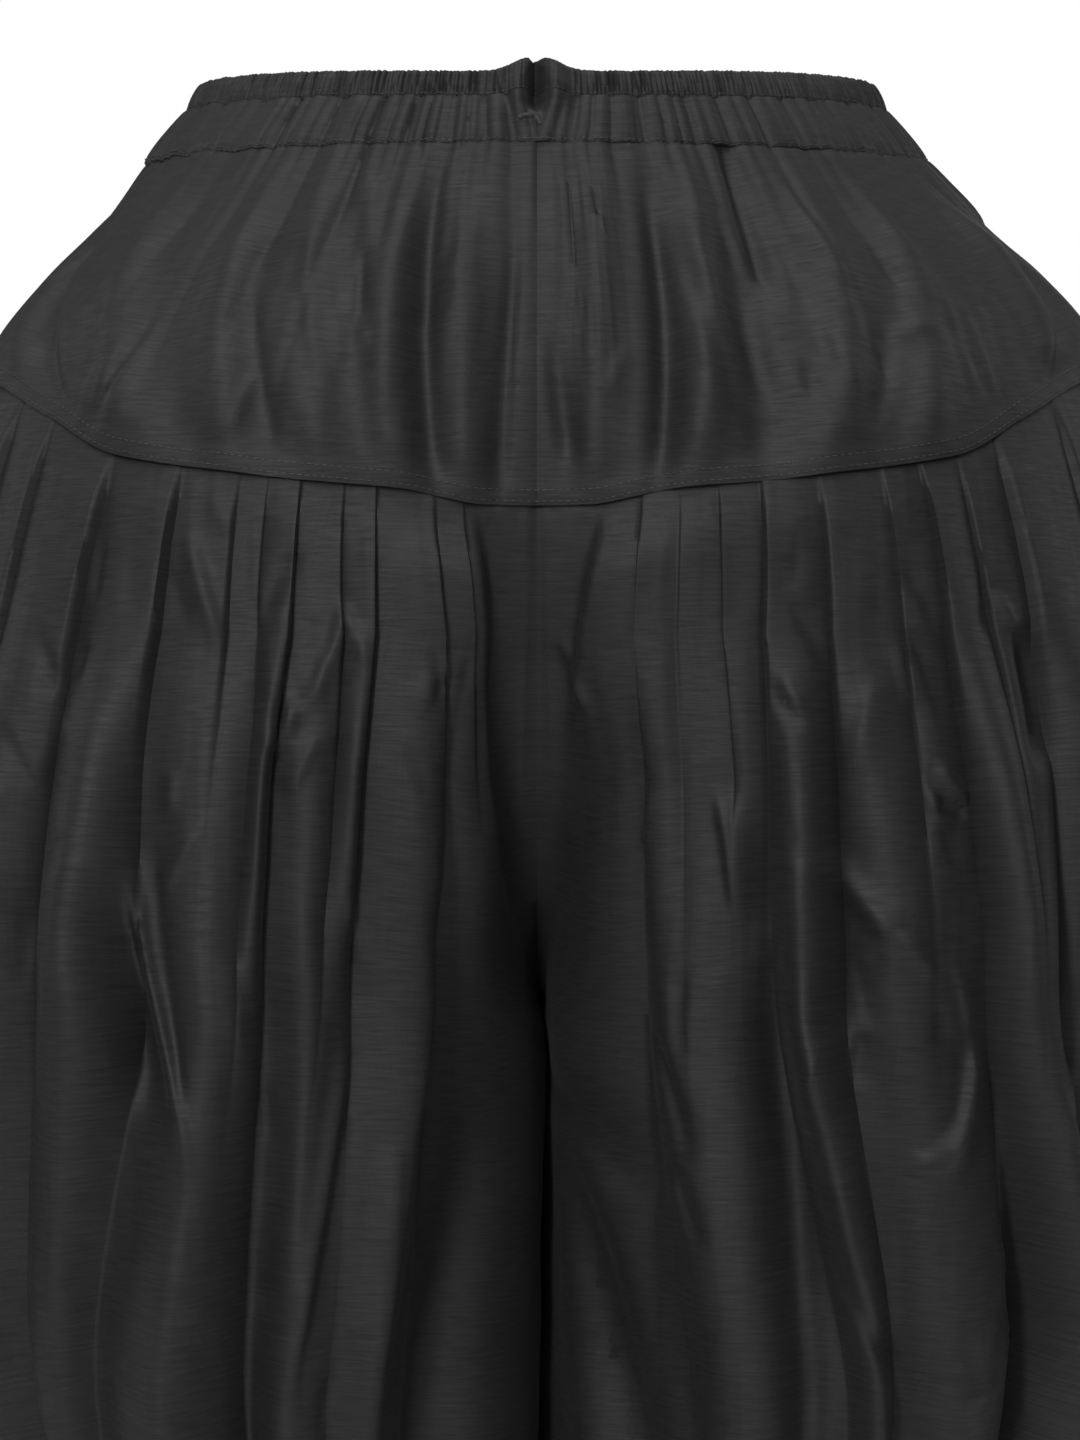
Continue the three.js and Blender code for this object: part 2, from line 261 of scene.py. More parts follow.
def ripple(across, down, seed):
    """Smooth chance values between -1 and 1 on a lattice of cells, one unit wide and high."""
    lattice = np.random.default_rng(seed).uniform(-1, 1, (RIPPLE_CELLS, RIPPLE_CELLS))
    i, j = np.floor(across).astype(int), np.floor(down).astype(int)
    u, v = smoothstep(0, 1, across - i), smoothstep(0, 1, down - j)
    value = [[lattice[(i + a) % RIPPLE_CELLS, (j + b) % RIPPLE_CELLS] for b in (0, 1)] for a in (0, 1)]
    return (1 - u) * ((1 - v) * value[0][0] + v * value[0][1]) + u * ((1 - v) * value[1][0] + v * value[1][1])


def strokes(along, drop, rows):
    """The summed height of listed creases (below 0) and ridges (above 0)."""
    total = np.zeros_like(along)
    for row in each_row(rows):
        run = (row["end"] - row["start"]) * GIRTH, row["end_drop"] - row["start_drop"]
        length = math.hypot(*run)
        px, py = (along - row["start"]) * GIRTH, drop - row["start_drop"]
        t = (px * run[0] + py * run[1]) / length**2
        across = (px * run[1] - py * run[0]) / length - row["bow"] * 4 * t * (1 - t)
        width = np.where(across > 0, row["far"], row["near"])
        taper = between(0, STROKE_TAPER, 1 - STROKE_TAPER, 1, t)
        total += row["height"] * hump(across, width) * taper
    return total


def small_creases(count, top, bottom, seed):
    """A table of short slanting creases and ridges at chance places: worn cloth is never quite smooth."""
    chance = np.random.default_rng(seed)
    start, drop = chance.uniform(*SMALL_PLACE, count), chance.uniform(top, bottom, count)
    run, slant = chance.uniform(*SMALL_RUN, count), chance.uniform(-SMALL_SLANT, SMALL_SLANT, count)
    height = chance.uniform(*SMALL_HEIGHT, count) * chance.choice([-1, 1], count)
    near, far = chance.uniform(*SMALL_NEAR, count), chance.uniform(*SMALL_FAR, count)
    rows = [start, drop, start + run * slant / GIRTH, drop + run, 3 * slant, near, far, height]
    return dict(zip(STROKE_COLUMNS, rows))


# %% [markdown]
# Each piece is a wall between an outer and an inner surface. The outer one carries all the detail. The inner
# one needs only every second point, because nobody looks into a trouser leg from a step away. The narrow rims
# that close the wall join two fine steps to one coarse step.

# %% Helpers that make a thin wall of cloth
SEAM_REACH = 1e-6
SHARP_ANGLE = math.radians(60)


def outward(points, along, drop):
    """Unit vectors that point out of the smooth form, made level or square to the seams at the middle."""
    down, across = np.gradient(points, axis=0), np.gradient(points, axis=1)
    normal = -np.cross(across, down)
    on_seam = (along < SEAM_REACH) | (along > 1 - SEAM_REACH)
    normal[..., 0][on_seam & (drop < CROTCH_DROP)] = 0
    normal[..., 1][on_seam & (drop >= CROTCH_DROP)] = 0
    return normal / np.maximum(np.linalg.norm(normal, axis=-1, keepdims=True), 1e-9)


def both_sides(points, normal, height, wall):
    """The outer surface of a piece, and the inner one that lies its wall's thickness inside it."""
    return points + normal * height[..., None], points + normal * (height - wall)[..., None]


def wall_mesh(name, outer, inner, on_cloth, inside_out, material):
    """A closed shell from two grids of points in millimetres, with on_cloth in metres as its UV map."""
    rows, columns = outer.shape[:2]
    coarse = inner[::2, ::2]
    inner_rows, inner_columns = coarse.shape[:2]
    fine = np.arange(rows * columns).reshape(rows, columns)
    rough = rows * columns + np.arange(inner_rows * inner_columns).reshape(inner_rows, inner_columns)

    def quads(index, flip):
        corners = [index[:-1, :-1], index[1:, :-1], index[1:, 1:], index[:-1, 1:]]
        return np.stack(corners[::-1] if flip else corners, axis=-1).reshape(-1, 4).tolist()

    def rim(fine_edge, rough_edge, flip):
        faces = [
            [*fine_edge[2 * k : 2 * k + 3].tolist(), int(rough_edge[k + 1]), int(rough_edge[k])]
            for k in range(len(rough_edge) - 1)
        ]
        return [face[::-1] for face in faces] if flip else faces

    faces = quads(fine, inside_out) + quads(rough, not inside_out)
    faces += rim(fine[0], rough[0], inside_out) + rim(fine[-1], rough[-1], not inside_out)
    faces += rim(fine[:, 0], rough[:, 0], not inside_out) + rim(fine[:, -1], rough[:, -1], inside_out)
    mesh = bpy.data.meshes.new(name)
    points = np.concatenate([outer.reshape(-1, 3), coarse.reshape(-1, 3)]) * MM
    mesh.from_pydata(points.tolist(), [], faces)
    uv_points = np.concatenate([on_cloth.reshape(-1, 2), on_cloth[::2, ::2].reshape(-1, 2)])
    corner_vertices = np.empty(len(mesh.loops), dtype=np.int32)
    mesh.loops.foreach_get("vertex_index", corner_vertices)
    mesh.uv_layers.new(name="cloth").data.foreach_set("uv", uv_points[corner_vertices].ravel())
    mesh.materials.append(material)
    mesh.shade_smooth()
    mesh.set_sharp_from_angle(angle=SHARP_ANGLE)
    piece = bpy.data.objects.new(name, mesh)
    bpy.context.scene.collection.objects.link(piece)
    print(name, "faces", len(faces))
    return piece


# %% [markdown]
# The cloth is a cotton silk with a satin face. Close up it has fine threads across and along, and from a step
# away thicker weft threads show as short level streaks, called slubs. The weave is a node group, because the
# cloth of the legs and yoke and the tighter cloth of the waist use it with their own values. It reads the
# pieces' own UV map, which is in metres of cloth, so threads follow the pleats.

# %% The weave as a node group
SLUBS = (65, 900, 2)
FINE_SLUBS = (120, 2100, 1)
FINE_SLUB_SHARE = 0.6
WARP = (1400, 18, 1)
WARP_SHARE = 0.25
MEAN_STREAK = 0.925
THREAD_RELIEF = 0.15


def link(tree, source, target):
    tree.links.new(source, target)


def weave_group():
    """Outputs the slub streaks as a value and the thread relief as a height."""
    group = bpy.data.node_groups.new("slub weave", "ShaderNodeTree")
    group.interface.new_socket(name="Cloth", in_out="INPUT", socket_type="NodeSocketVector")
    for name, way in (("Thread", "INPUT"), ("Slub", "INPUT"), ("Streaks", "OUTPUT"), ("Relief", "OUTPUT")):
        group.interface.new_socket(name=name, in_out=way, socket_type="NodeSocketFloat")
    nodes = group.nodes
    inputs, outputs = nodes.new("NodeGroupInput"), nodes.new("NodeGroupOutput")

    def math_node(operation, first, second):
        node = nodes.new("ShaderNodeMath")
        node.operation = operation
        for socket, value in zip(node.inputs, (first, second)):
            if isinstance(value, (int, float)):
                socket.default_value = value
            else:
                link(group, value, socket)
        return node.outputs[0]

    def streaks(scale_across, scale_down, detail):
        mapping = nodes.new("ShaderNodeMapping")
        mapping.inputs["Scale"].default_value = (scale_across, scale_down, 1)
        link(group, inputs.outputs["Cloth"], mapping.inputs["Vector"])
        noise = nodes.new("ShaderNodeTexNoise")
        noise.noise_dimensions = "2D"
        noise.inputs["Scale"].default_value = 1
        noise.inputs["Detail"].default_value = detail
        link(group, mapping.outputs["Vector"], noise.inputs["Vector"])
        return noise.outputs["Fac"]

    parts = nodes.new("ShaderNodeSeparateXYZ")
    link(group, inputs.outputs["Cloth"], parts.inputs[0])
    waves = []
    for i in (0, 1):
        turns = math_node("DIVIDE", parts.outputs[i], inputs.outputs["Thread"])
        waves.append(math_node("SINE", math_node("MULTIPLY", turns, 2 * math.pi), 0))
    threads = math_node("MULTIPLY", waves[0], waves[1])
    weft = math_node("ADD", streaks(*SLUBS), math_node("MULTIPLY", streaks(*FINE_SLUBS), FINE_SLUB_SHARE))
    warp = math_node("MULTIPLY", streaks(*WARP), WARP_SHARE)
    mean = math_node("SUBTRACT", math_node("ADD", weft, warp), MEAN_STREAK)
    slubs = math_node("ADD", math_node("MULTIPLY", mean, inputs.outputs["Slub"]), 0.5)
    relief = math_node("ADD", math_node("MULTIPLY", threads, THREAD_RELIEF), slubs)
    link(group, slubs, outputs.inputs["Streaks"])
    link(group, relief, outputs.inputs["Relief"])
    return group


WEAVE = weave_group()
print("weave group with", len(WEAVE.nodes), "nodes")

# %% [markdown]
# Black cloth is never flat black. Its folds show because the satin face throws back light in broad bands, so
# the shader has a medium roughness, a little sheen for the fine nap, and a slow mottle where the dye took
# unevenly. The sheen is set on the shader's own socket.

# %% Cloth material
BLACK = (0.004, 0.004, 0.0045)
THREAD_WIDTH = 0.0006
SLUB_STRENGTH = 0.55
POLISH_SWING = 0.08


def cloth_material(name, light, roughness):
    """Cloth that goes from black to its light colour along the slubs, and shines a little more on them."""
    material = bpy.data.materials.new(name)
    material.use_nodes = True
    tree = material.node_tree
    nodes = tree.nodes
    shader = nodes["Principled BSDF"]
    place = nodes.new("ShaderNodeUVMap")
    place.uv_map = "cloth"
    weave = nodes.new("ShaderNodeGroup")
    weave.node_tree = WEAVE
    link(tree, place.outputs["UV"], weave.inputs["Cloth"])
    weave.inputs["Thread"].default_value = THREAD_WIDTH
    weave.inputs["Slub"].default_value = SLUB_STRENGTH
    mottle = nodes.new("ShaderNodeTexNoise")
    mottle.inputs["Scale"].default_value = 14
    mottle.inputs["Detail"].default_value = 4
    link(tree, place.outputs["UV"], mottle.inputs["Vector"])
    blend = nodes.new("ShaderNodeMath")
    blend.operation = "MULTIPLY_ADD"
    link(tree, mottle.outputs["Fac"], blend.inputs[0])
    blend.inputs[1].default_value = 0.4
    link(tree, weave.outputs["Streaks"], blend.inputs[2])
    shade = nodes.new("ShaderNodeValToRGB")
    shade.color_ramp.elements[0].position = 0.34
    shade.color_ramp.elements[0].color = (*BLACK, 1)
    shade.color_ramp.elements[1].color = (*light, 1)
    link(tree, blend.outputs[0], shade.inputs["Fac"])
    link(tree, shade.outputs["Color"], shader.inputs["Base Color"])
    polish = nodes.new("ShaderNodeMapRange")
    polish.inputs["From Min"].default_value = 0.2
    polish.inputs["From Max"].default_value = 0.8
    polish.inputs["To Min"].default_value = roughness + POLISH_SWING
    polish.inputs["To Max"].default_value = roughness - POLISH_SWING
    link(tree, weave.outputs["Streaks"], polish.inputs["Value"])
    link(tree, polish.outputs["Result"], shader.inputs["Roughness"])
    bump = nodes.new("ShaderNodeBump")
    bump.inputs["Strength"].default_value = 0.4
    bump.inputs["Distance"].default_value = 0.0003
    link(tree, weave.outputs["Relief"], bump.inputs["Height"])
    link(tree, bump.outputs["Normal"], shader.inputs["Normal"])
    shader.inputs["Specular IOR Level"].default_value = 0.36
    shader.inputs["Sheen Weight"].default_value = 0.02
    shader.inputs["Sheen Roughness"].default_value = 0.4
    return material


CLOTH = cloth_material("black cotton silk", (0.027, 0.027, 0.028), 0.59)
BAND_CLOTH = cloth_material("gathered band cloth", (0.03, 0.03, 0.031), 0.61)


def thread_material():
    """Polyester sewing thread: smoother and a little lighter than the cloth."""
    material = bpy.data.materials.new("sewing thread")
    material.use_nodes = True
    tree = material.node_tree
    shader = tree.nodes["Principled BSDF"]
    place = tree.nodes.new("ShaderNodeTexCoord")
    twist = tree.nodes.new("ShaderNodeTexNoise")
    twist.inputs["Scale"].default_value = 900
    link(tree, place.outputs["Object"], twist.inputs["Vector"])
    shade = tree.nodes.new("ShaderNodeValToRGB")
    shade.color_ramp.elements[0].color = (0.02, 0.02, 0.022, 1)
    shade.color_ramp.elements[1].color = (0.075, 0.075, 0.08, 1)
    link(tree, twist.outputs["Fac"], shade.inputs["Fac"])
    link(tree, shade.outputs["Color"], shader.inputs["Base Color"])
    shader.inputs["Roughness"].default_value = 0.38
    return material


THREAD = thread_material()
print("materials", [m.name for m in (CLOTH, BAND_CLOTH, THREAD)])

# %% [markdown]
# The legs are the heart of a salwar. A maker folds a very wide panel into knife pleats, tacks them along the
# top and sews them under the yoke. Each pleat is a sharp edge there and relaxes into a tube of cloth below.
# The columns of the mesh follow the creases and crowd together at them, so that the edges stay crisp.

# %% Pleats, from the middle seam to the side seam
PLEAT_COLUMNS = ("along", "middle", "low", "depth", "end")
PLEATS = {
    "leg_front_right": table(PLEAT_COLUMNS, [
        (0.004, 0.003, 0.003, 1, 330),
        (0.043, 0.018, 0.015, 5, 360),
        (0.060, 0.037, 0.030, 9, 900),
        (0.095, 0.094, 0.076, 10, 940),
        (0.114, 0.112, 0.106, 6, 400),
        (0.140, 0.143, 0.135, 12, 940),
        (0.160, 0.160, 0.158, 4, 300),
        (0.177, 0.180, 0.190, 6, 360),
        (0.214, 0.212, 0.250, 13, 940),
        (0.262, 0.275, 0.300, 11, 880),
        (0.316, 0.326, 0.340, 7, 420),
        (0.350, 0.366, 0.384, 10, 880),
        (0.400, 0.408, 0.420, 7, 520),
        (0.450, 0.455, 0.462, 8, 700),
    ]),
    "leg_front_left": table(PLEAT_COLUMNS, [
        (0.004, 0.003, 0.003, 1, 330),
        (0.062, 0.040, 0.028, 7, 800),
        (0.085, 0.080, 0.072, 4, 300),
        (0.108, 0.103, 0.100, 7, 380),
        (0.133, 0.118, 0.143, 14, 940),
        (0.168, 0.163, 0.178, 8, 640),
        (0.208, 0.214, 0.225, 6, 400),
        (0.233, 0.242, 0.283, 13, 940),
        (0.260, 0.268, 0.306, 6, 400),
        (0.290, 0.290, 0.330, 11, 900),
        (0.350, 0.356, 0.374, 8, 460),
        (0.400, 0.408, 0.420, 10, 840),
        (0.450, 0.455, 0.462, 7, 620),
    ]),
    "leg_back_right": table(PLEAT_COLUMNS, [
        (0.004, 0.003, 0.003, 1, 330),
        (0.050, 0.036, 0.030, 8, 800),
        (0.084, 0.082, 0.078, 5, 340),
        (0.121, 0.112, 0.100, 11, 920),
        (0.156, 0.158, 0.160, 6, 420),
        (0.197, 0.190, 0.186, 12, 940),
        (0.232, 0.236, 0.240, 5, 380),
        (0.281, 0.290, 0.308, 13, 920),
        (0.325, 0.334, 0.346, 6, 420),
        (0.372, 0.380, 0.396, 11, 900),
        (0.424, 0.430, 0.440, 8, 700),
    ]),
    "leg_back_left": table(PLEAT_COLUMNS, [
        (0.004, 0.003, 0.003, 1, 330),
        (0.046, 0.034, 0.030, 6, 400),
        (0.079, 0.072, 0.064, 10, 900),
        (0.118, 0.118, 0.116, 6, 420),
        (0.161, 0.152, 0.150, 12, 940),
        (0.193, 0.196, 0.196, 6, 380),
        (0.240, 0.244, 0.262, 12, 920),
        (0.276, 0.286, 0.306, 5, 400),
        (0.330, 0.336, 0.352, 12, 940),
        (0.380, 0.386, 0.398, 7, 520),
        (0.430, 0.436, 0.446, 9, 760),
    ]),
}
print({name: len(rows["along"]) for name, rows in PLEATS.items()})

# %% [markdown]
# Each crease has its place round the garment and its drop at both ends, a bow, the widths of its near and far
# side and a height. Those of the two front panels follow the photograph. It doesn't show the back, so the
# back panels have their own creases of the same kind.

# %% Creases and ridges of the legs
LEG_STROKES = {
    "leg_front_right": table(STROKE_COLUMNS, [
        (0.208, 192, 0.177, 250, 0, 3, 5, 2),
        (0.198, 180, 0.178, 198, 0, 3, 3, 1.2),
        (0.117, 225, 0.099, 255, 0, 3, 3, 1.4),
        (0.149, 290, 0.134, 266, 0, 3, 4, 2.4),
        (0.134, 275, 0.112, 225, 2, 3, 4, 2),
        (0.225, 330, 0.184, 450, 4, 4, 12, -9),
        (0.220, 320, 0.172, 462, 4, 3, 9, 5),
        (0.208, 318, 0.180, 440, 0, 2, 3, -1.6),
        (0.158, 370, 0.203, 900, 6, 16, 18, 8),
        (0.132, 350, 0.135, 860, -5, 6, 9, -6),
        (0.094, 380, 0.106, 560, 0, 3, 5, 3),
        (0.084, 340, 0.082, 820, 3, 12, 12, 6),
        (0.052, 350, 0.053, 600, 2, 9, 12, 4),
        (0.043, 150, 0.006, 380, 3, 3, 40, 7),
        (0.274, 258, 0.258, 286, 0, 3, 4, 1.8),
        (0.304, 322, 0.292, 356, 0, 3, 4, 1.8),
        (0.252, 370, 0.286, 800, 4, 8, 12, -6),
        (0.162, 366, 0.156, 414, 0, 3, 5, 1.6),
        (0.33, 330, 0.31, 700, 5, 10, 14, 6),
        (0.41, 300, 0.39, 760, -5, 12, 14, 7),
        (0.37, 260, 0.35, 420, 3, 4, 8, -5),
        (0.2, 640, 0.16, 760, 4, 4, 7, -2.5),
        (0.1, 660, 0.17, 740, -4, 4, 6, -2),
        (0.022, 400, 0.026, 900, 1, 3, 4, -9),
    ]),
    "leg_front_left": table(STROKE_COLUMNS, [
        (0.086, 240, 0.068, 900, 4, 24, 28, 9),
        (0.066, 130, 0.010, 300, -2, 3, 45, 7),
        (0.012, 430, 0.026, 680, 1, 2.5, 4, -10),
        (0.009, 238, 0.026, 275, 0, 2, 3, 2.4),
        (0.052, 398, 0.073, 460, 3, 4, 6, -3),
        (0.058, 455, 0.074, 492, -2, 4, 6, -3),
        (0.010, 420, 0.033, 480, 0, 4, 8, -4),
        (0.123, 310, 0.107, 800, 0, 7, 12, -9),
        (0.143, 370, 0.158, 540, 3, 10, 14, 7),
        (0.139, 476, 0.183, 550, -4, 3, 5, -3),
        (0.234, 400, 0.205, 462, 5, 3, 5, 4),
        (0.224, 436, 0.186, 458, 3, 3, 5, 2.2),
        (0.152, 326, 0.192, 366, -2, 3, 6, 3.6),
        (0.188, 359, 0.209, 380, 0, 3, 4, 2.5),
        (0.098, 300, 0.107, 360, 2, 3, 7, 4),
        (0.137, 258, 0.152, 272, 0, 3, 3, 1.8),
        (0.132, 260, 0.148, 280, 0, 3, 3, -1.5),
        (0.216, 294, 0.239, 310, 0, 3, 4, 2.5),
        (0.215, 310, 0.237, 312, 0, 3, 3, -2.4),
        (0.212, 302, 0.223, 322, 0, 3, 3, 1.6),
        (0.241, 370, 0.305, 740, 5, 8, 12, -9),
        (0.288, 370, 0.319, 720, 3, 12, 14, 6),
        (0.200, 554, 0.252, 546, 0, 2, 3, 1.8),
        (0.266, 222, 0.279, 240, 0, 3, 3, 1.5),
        (0.280, 232, 0.280, 300, 2, 5, 9, -6),
        (0.190, 440, 0.256, 700, -3, 14, 20, 4),
        (0.36, 320, 0.34, 690, -5, 10, 14, 6),
        (0.43, 300, 0.41, 740, 4, 12, 14, 7),
        (0.16, 650, 0.12, 780, 4, 4, 7, -2.5),
        (0.22, 690, 0.28, 790, -4, 4, 6, -2),
        (0.020, 560, 0.026, 920, 1, 3, 4, -9),
    ]),
    "leg_back_right": table(STROKE_COLUMNS, [
        (0.06, 300, 0.07, 780, 4, 16, 20, 8),
        (0.12, 330, 0.10, 800, -4, 7, 11, -7),
        (0.17, 360, 0.19, 860, 5, 14, 16, 7),
        (0.22, 330, 0.25, 720, 4, 8, 12, -8),
        (0.30, 340, 0.31, 700, -4, 12, 15, 7),
        (0.38, 300, 0.36, 760, 4, 12, 14, 6),
        (0.05, 420, 0.08, 490, 3, 4, 7, -3.5),
        (0.14, 230, 0.16, 290, 0, 3, 5, 2.2),
        (0.25, 260, 0.23, 320, -2, 3, 5, 2.6),
        (0.11, 400, 0.15, 460, 3, 3, 6, 3),
        (0.20, 480, 0.16, 560, -4, 4, 6, -3),
        (0.33, 420, 0.28, 520, 5, 4, 7, -3.5),
        (0.09, 620, 0.15, 720, -4, 4, 6, -2.4),
    ]),
    "leg_back_left": table(STROKE_COLUMNS, [
        (0.08, 310, 0.06, 800, -4, 18, 20, 8),
        (0.13, 320, 0.12, 760, 4, 7, 12, -8),
        (0.18, 350, 0.20, 840, -4, 14, 16, 7),
        (0.25, 340, 0.23, 760, 4, 8, 12, -7),
        (0.31, 330, 0.33, 720, 4, 12, 16, 7),
        (0.40, 300, 0.38, 740, -4, 12, 14, 7),
        (0.04, 440, 0.07, 510, 3, 4, 7, -3),
        (0.10, 250, 0.12, 310, 0, 3, 5, 2.4),
        (0.21, 240, 0.23, 300, 2, 3, 5, 2),
        (0.15, 420, 0.11, 490, -3, 3, 6, 3),
        (0.28, 460, 0.23, 560, 5, 4, 7, -3.5),
        (0.35, 380, 0.30, 440, 3, 3, 5, 2.6),
        (0.17, 600, 0.10, 700, 4, 4, 6, -2.4),
    ]),
}
print({name: len(rows["start"]) for name, rows in LEG_STROKES.items()})

# %% [markdown]
# A leg panel adds its folds up: knife pleats under the seam, broad rounded folds below them, the creases, and
# a little unevenness everywhere. All of it fades at the seams, so that neighbouring panels meet on the smooth
# form. The panel's top edge is tucked in behind the yoke, as the seam allowance is.

# %% Values of the legs
LEG_ROWS = 225
STEPS_PER_PLEAT = 22
CROWDING = 1.35
TUCK = 5
TUCK_DEPTH = 1.6
WALL = 0.9
MEANDER = 0.005
LONG_PLEAT = 640
KNIFE_END = 480
KNIFE_FADE = 170
KNIFE_EDGE = 0.07
BROADER = 1.4
FIRST_FOLD_DEPTH = 7
FIRST_FOLD_END = 800
NARROW_FOLD = 30
CREASE_GAIN = 1.35
SMALL_CREASES = ((36, 190, 430), (30, 400, 860))
SLOW_SWELL = 1.2
CRUMPLE = 0.5
SLANTING_CRUMPLE = 0.55
FINE_CRUMPLE = 0.17
SEAM_GROOVE = 1.1
LEAN = 5
LEAN_REACH = 22
RECESS = 8
RECESS_REACH = 34
HEM_FACING = 26
HEM_THICKNESS = 0.45
HEM_CALM = 0.75
LEG_SEEDS = {"leg_front_right": 11, "leg_front_left": 23, "leg_back_right": 37, "leg_back_left": 51}
print("a leg panel has", LEG_ROWS, "rows")

# %% Shape the legs


def lean_inside(points, drop):
    """Sway the inside of both legs to one side and back, so that they nest without a straight gap."""
    near = hump(points[..., 0], LEAN_REACH) * smoothstep(CROTCH_DROP - 40, CROTCH_DROP + 30, drop)
    points[..., 0] += LEAN * near * np.sin(points[..., 1] / 30 + drop / 160)


def edge_fade(along, drop, reach=12):
    """0 on the seams at the middle and the side, 1 away from them."""
    across = share_of(along, drop) * np.interp(drop, np.arange(HEM_DROP + 1.0), LENGTHS)
    gap = np.minimum(across, np.abs(0.5 - along) * GIRTH)
    return 1 - hump(gap, reach)


def broad_folds(name, along, drop, crease):
    """The rounded folds of the lower leg: each runs from one long crease to the next long one."""
    rows = PLEATS[name]
    long = np.nonzero(rows["end"] >= LONG_PLEAT)[0]
    edges = np.concatenate([crease[:1], crease[1 + long], crease[-1:]])
    depths = np.concatenate([[FIRST_FOLD_DEPTH], rows["depth"][long]]) * BROADER
    ends = np.concatenate([[FIRST_FOLD_END], rows["end"][long]])
    chance = np.random.default_rng(LEG_SEEDS[name])
    total = np.zeros_like(along)
    for start, end, depth, last in zip(edges[:-1, :, None], edges[1:, :, None], depths, ends):
        phase = np.clip((along - start) / (end - start), 0, 1)
        crisp, lean = chance.uniform(0.15, 0.75), chance.uniform(0.75, 1.25)
        folded = np.sin(np.pi * phase**lean)
        rolling = 0.5 - 0.5 * np.cos(2 * np.pi * phase**lean)
        fading = 1 - smoothstep(last - 120, last + 40, drop)
        width = np.minimum(1, (end - start) * GIRTH / NARROW_FOLD)
        shape = crisp * folded + (1 - crisp) * rolling
        total += depth * width * fading * shape * (phase > 0) * (phase < 1)
    return total


def leg_heights(name, along, drop, crease, phase, depth, end):
    """How far a leg panel stands out of the smooth form at each of its points."""
    below = drop - seam_drop(along)
    knife = np.minimum(1, phase / KNIFE_EDGE) * (1 - phase) ** 0.8
    folded = np.sin(np.pi * np.clip(phase, 0, 1) ** 0.8)
    shape = knife + (folded - knife) * smoothstep(25, 150, below)
    opening = 0.08 + 0.3 * smoothstep(0, 22, below) + 0.5 * smoothstep(0, 110, below)
    knife_end = np.minimum(end, KNIFE_END)
    fading = 1 - smoothstep(knife_end - KNIFE_FADE, knife_end, drop)
    height = depth * opening * fading * shape
    height += smoothstep(60, 230, below) * broad_folds(name, along, drop, crease)
    seed = LEG_SEEDS[name]
    girth = along * GIRTH
    calm = smoothstep(0, 60, below) * (1 - 0.7 * smoothstep(860, 960, drop))
    height += CREASE_GAIN * strokes(along, drop, LEG_STROKES[name]) * smoothstep(0, 30, below)
    for count, top, bottom in SMALL_CREASES:
        height += calm * strokes(along, drop, small_creases(count, top, bottom, seed + top))
    height += SLOW_SWELL * calm * ripple(girth / 24, drop / 170 + 3, seed)
    height += CRUMPLE * calm * ripple(girth / 9, drop / 70, seed + 1)
    height += SLANTING_CRUMPLE * calm * ripple(girth / 15 + drop / 30, drop / 45, seed + 4)
    height += FINE_CRUMPLE * ripple(girth / 3.4 + drop / 40, drop / 36, seed + 2)
    height *= edge_fade(along, drop)
    height -= SEAM_GROOVE * (1 - edge_fade(along, drop, 2.5))
    recess = between(195, 270, 330, 385, drop) * (along < 0.25)
    height -= RECESS * recess * (1 - edge_fade(along, drop, RECESS_REACH))
    height *= 1 - HEM_CALM * smoothstep(890, 950, drop)
    height += HEM_THICKNESS * smoothstep(HEM_DROP - HEM_FACING, HEM_DROP - HEM_FACING + 2, drop)
    return height - TUCK_DEPTH * smoothstep(0, -2, below)


def leg_columns(name, level):
    """Each column's place along the cloth at every level, with its share of its pleat and the pleat's row."""
    rows = PLEATS[name]
    count = len(rows["along"])
    middle_drop = YOKE_CENTRE_DROP + (HEM_DROP - YOKE_CENTRE_DROP) * level
    ends = [np.concatenate([[0], rows[column]])[:, None] for column in ("along", "middle", "low")]
    seam_end, middle_end, low_end = ends
    starts = seam_end + (middle_end - seam_end) * smoothstep(190, 400, middle_drop)
    starts += (low_end - middle_end) * smoothstep(400, 590, middle_drop)
    paths = [np.full(LEG_ROWS, 7.3 * i + 0.5) for i in range(count + 1)]
    sway = np.stack([ripple(path, middle_drop / 150, LEG_SEEDS[name]) for path in paths])
    calm = between(200, 300, 850, 950, middle_drop)
    crease = starts + MEANDER * sway * calm * (seam_end > 0.01)
    crease = np.concatenate([crease, np.full((1, LEG_ROWS), 0.5)])
    steps = np.linspace(0, 1, STEPS_PER_PLEAT + 1)[:-1]
    crowded = np.concatenate([steps[:1], steps[1:] ** CROWDING])
    gaps = np.diff(crease, axis=0)
    along = [crease[i][:, None] + crowded * gaps[i][:, None] for i in range(1, count + 1)]
    along = np.concatenate([crease[0][:, None], *along, crease[-1][:, None]], axis=1)
    if along.shape[1] % 2 == 0:
        along = np.concatenate([along[:, :1], (along[:, :1] + along[:, 1:2]) / 2, along[:, 1:]], axis=1)
    extra = along.shape[1] - 1 - count * STEPS_PER_PLEAT
    phase = np.concatenate([np.zeros(extra), np.tile(crowded, count), [1]])
    owner = np.concatenate([np.zeros(extra, int), np.repeat(np.arange(count), STEPS_PER_PLEAT), [count - 1]])
    return crease, along, phase[None, :], rows["depth"][owner][None, :], rows["end"][owner][None, :]


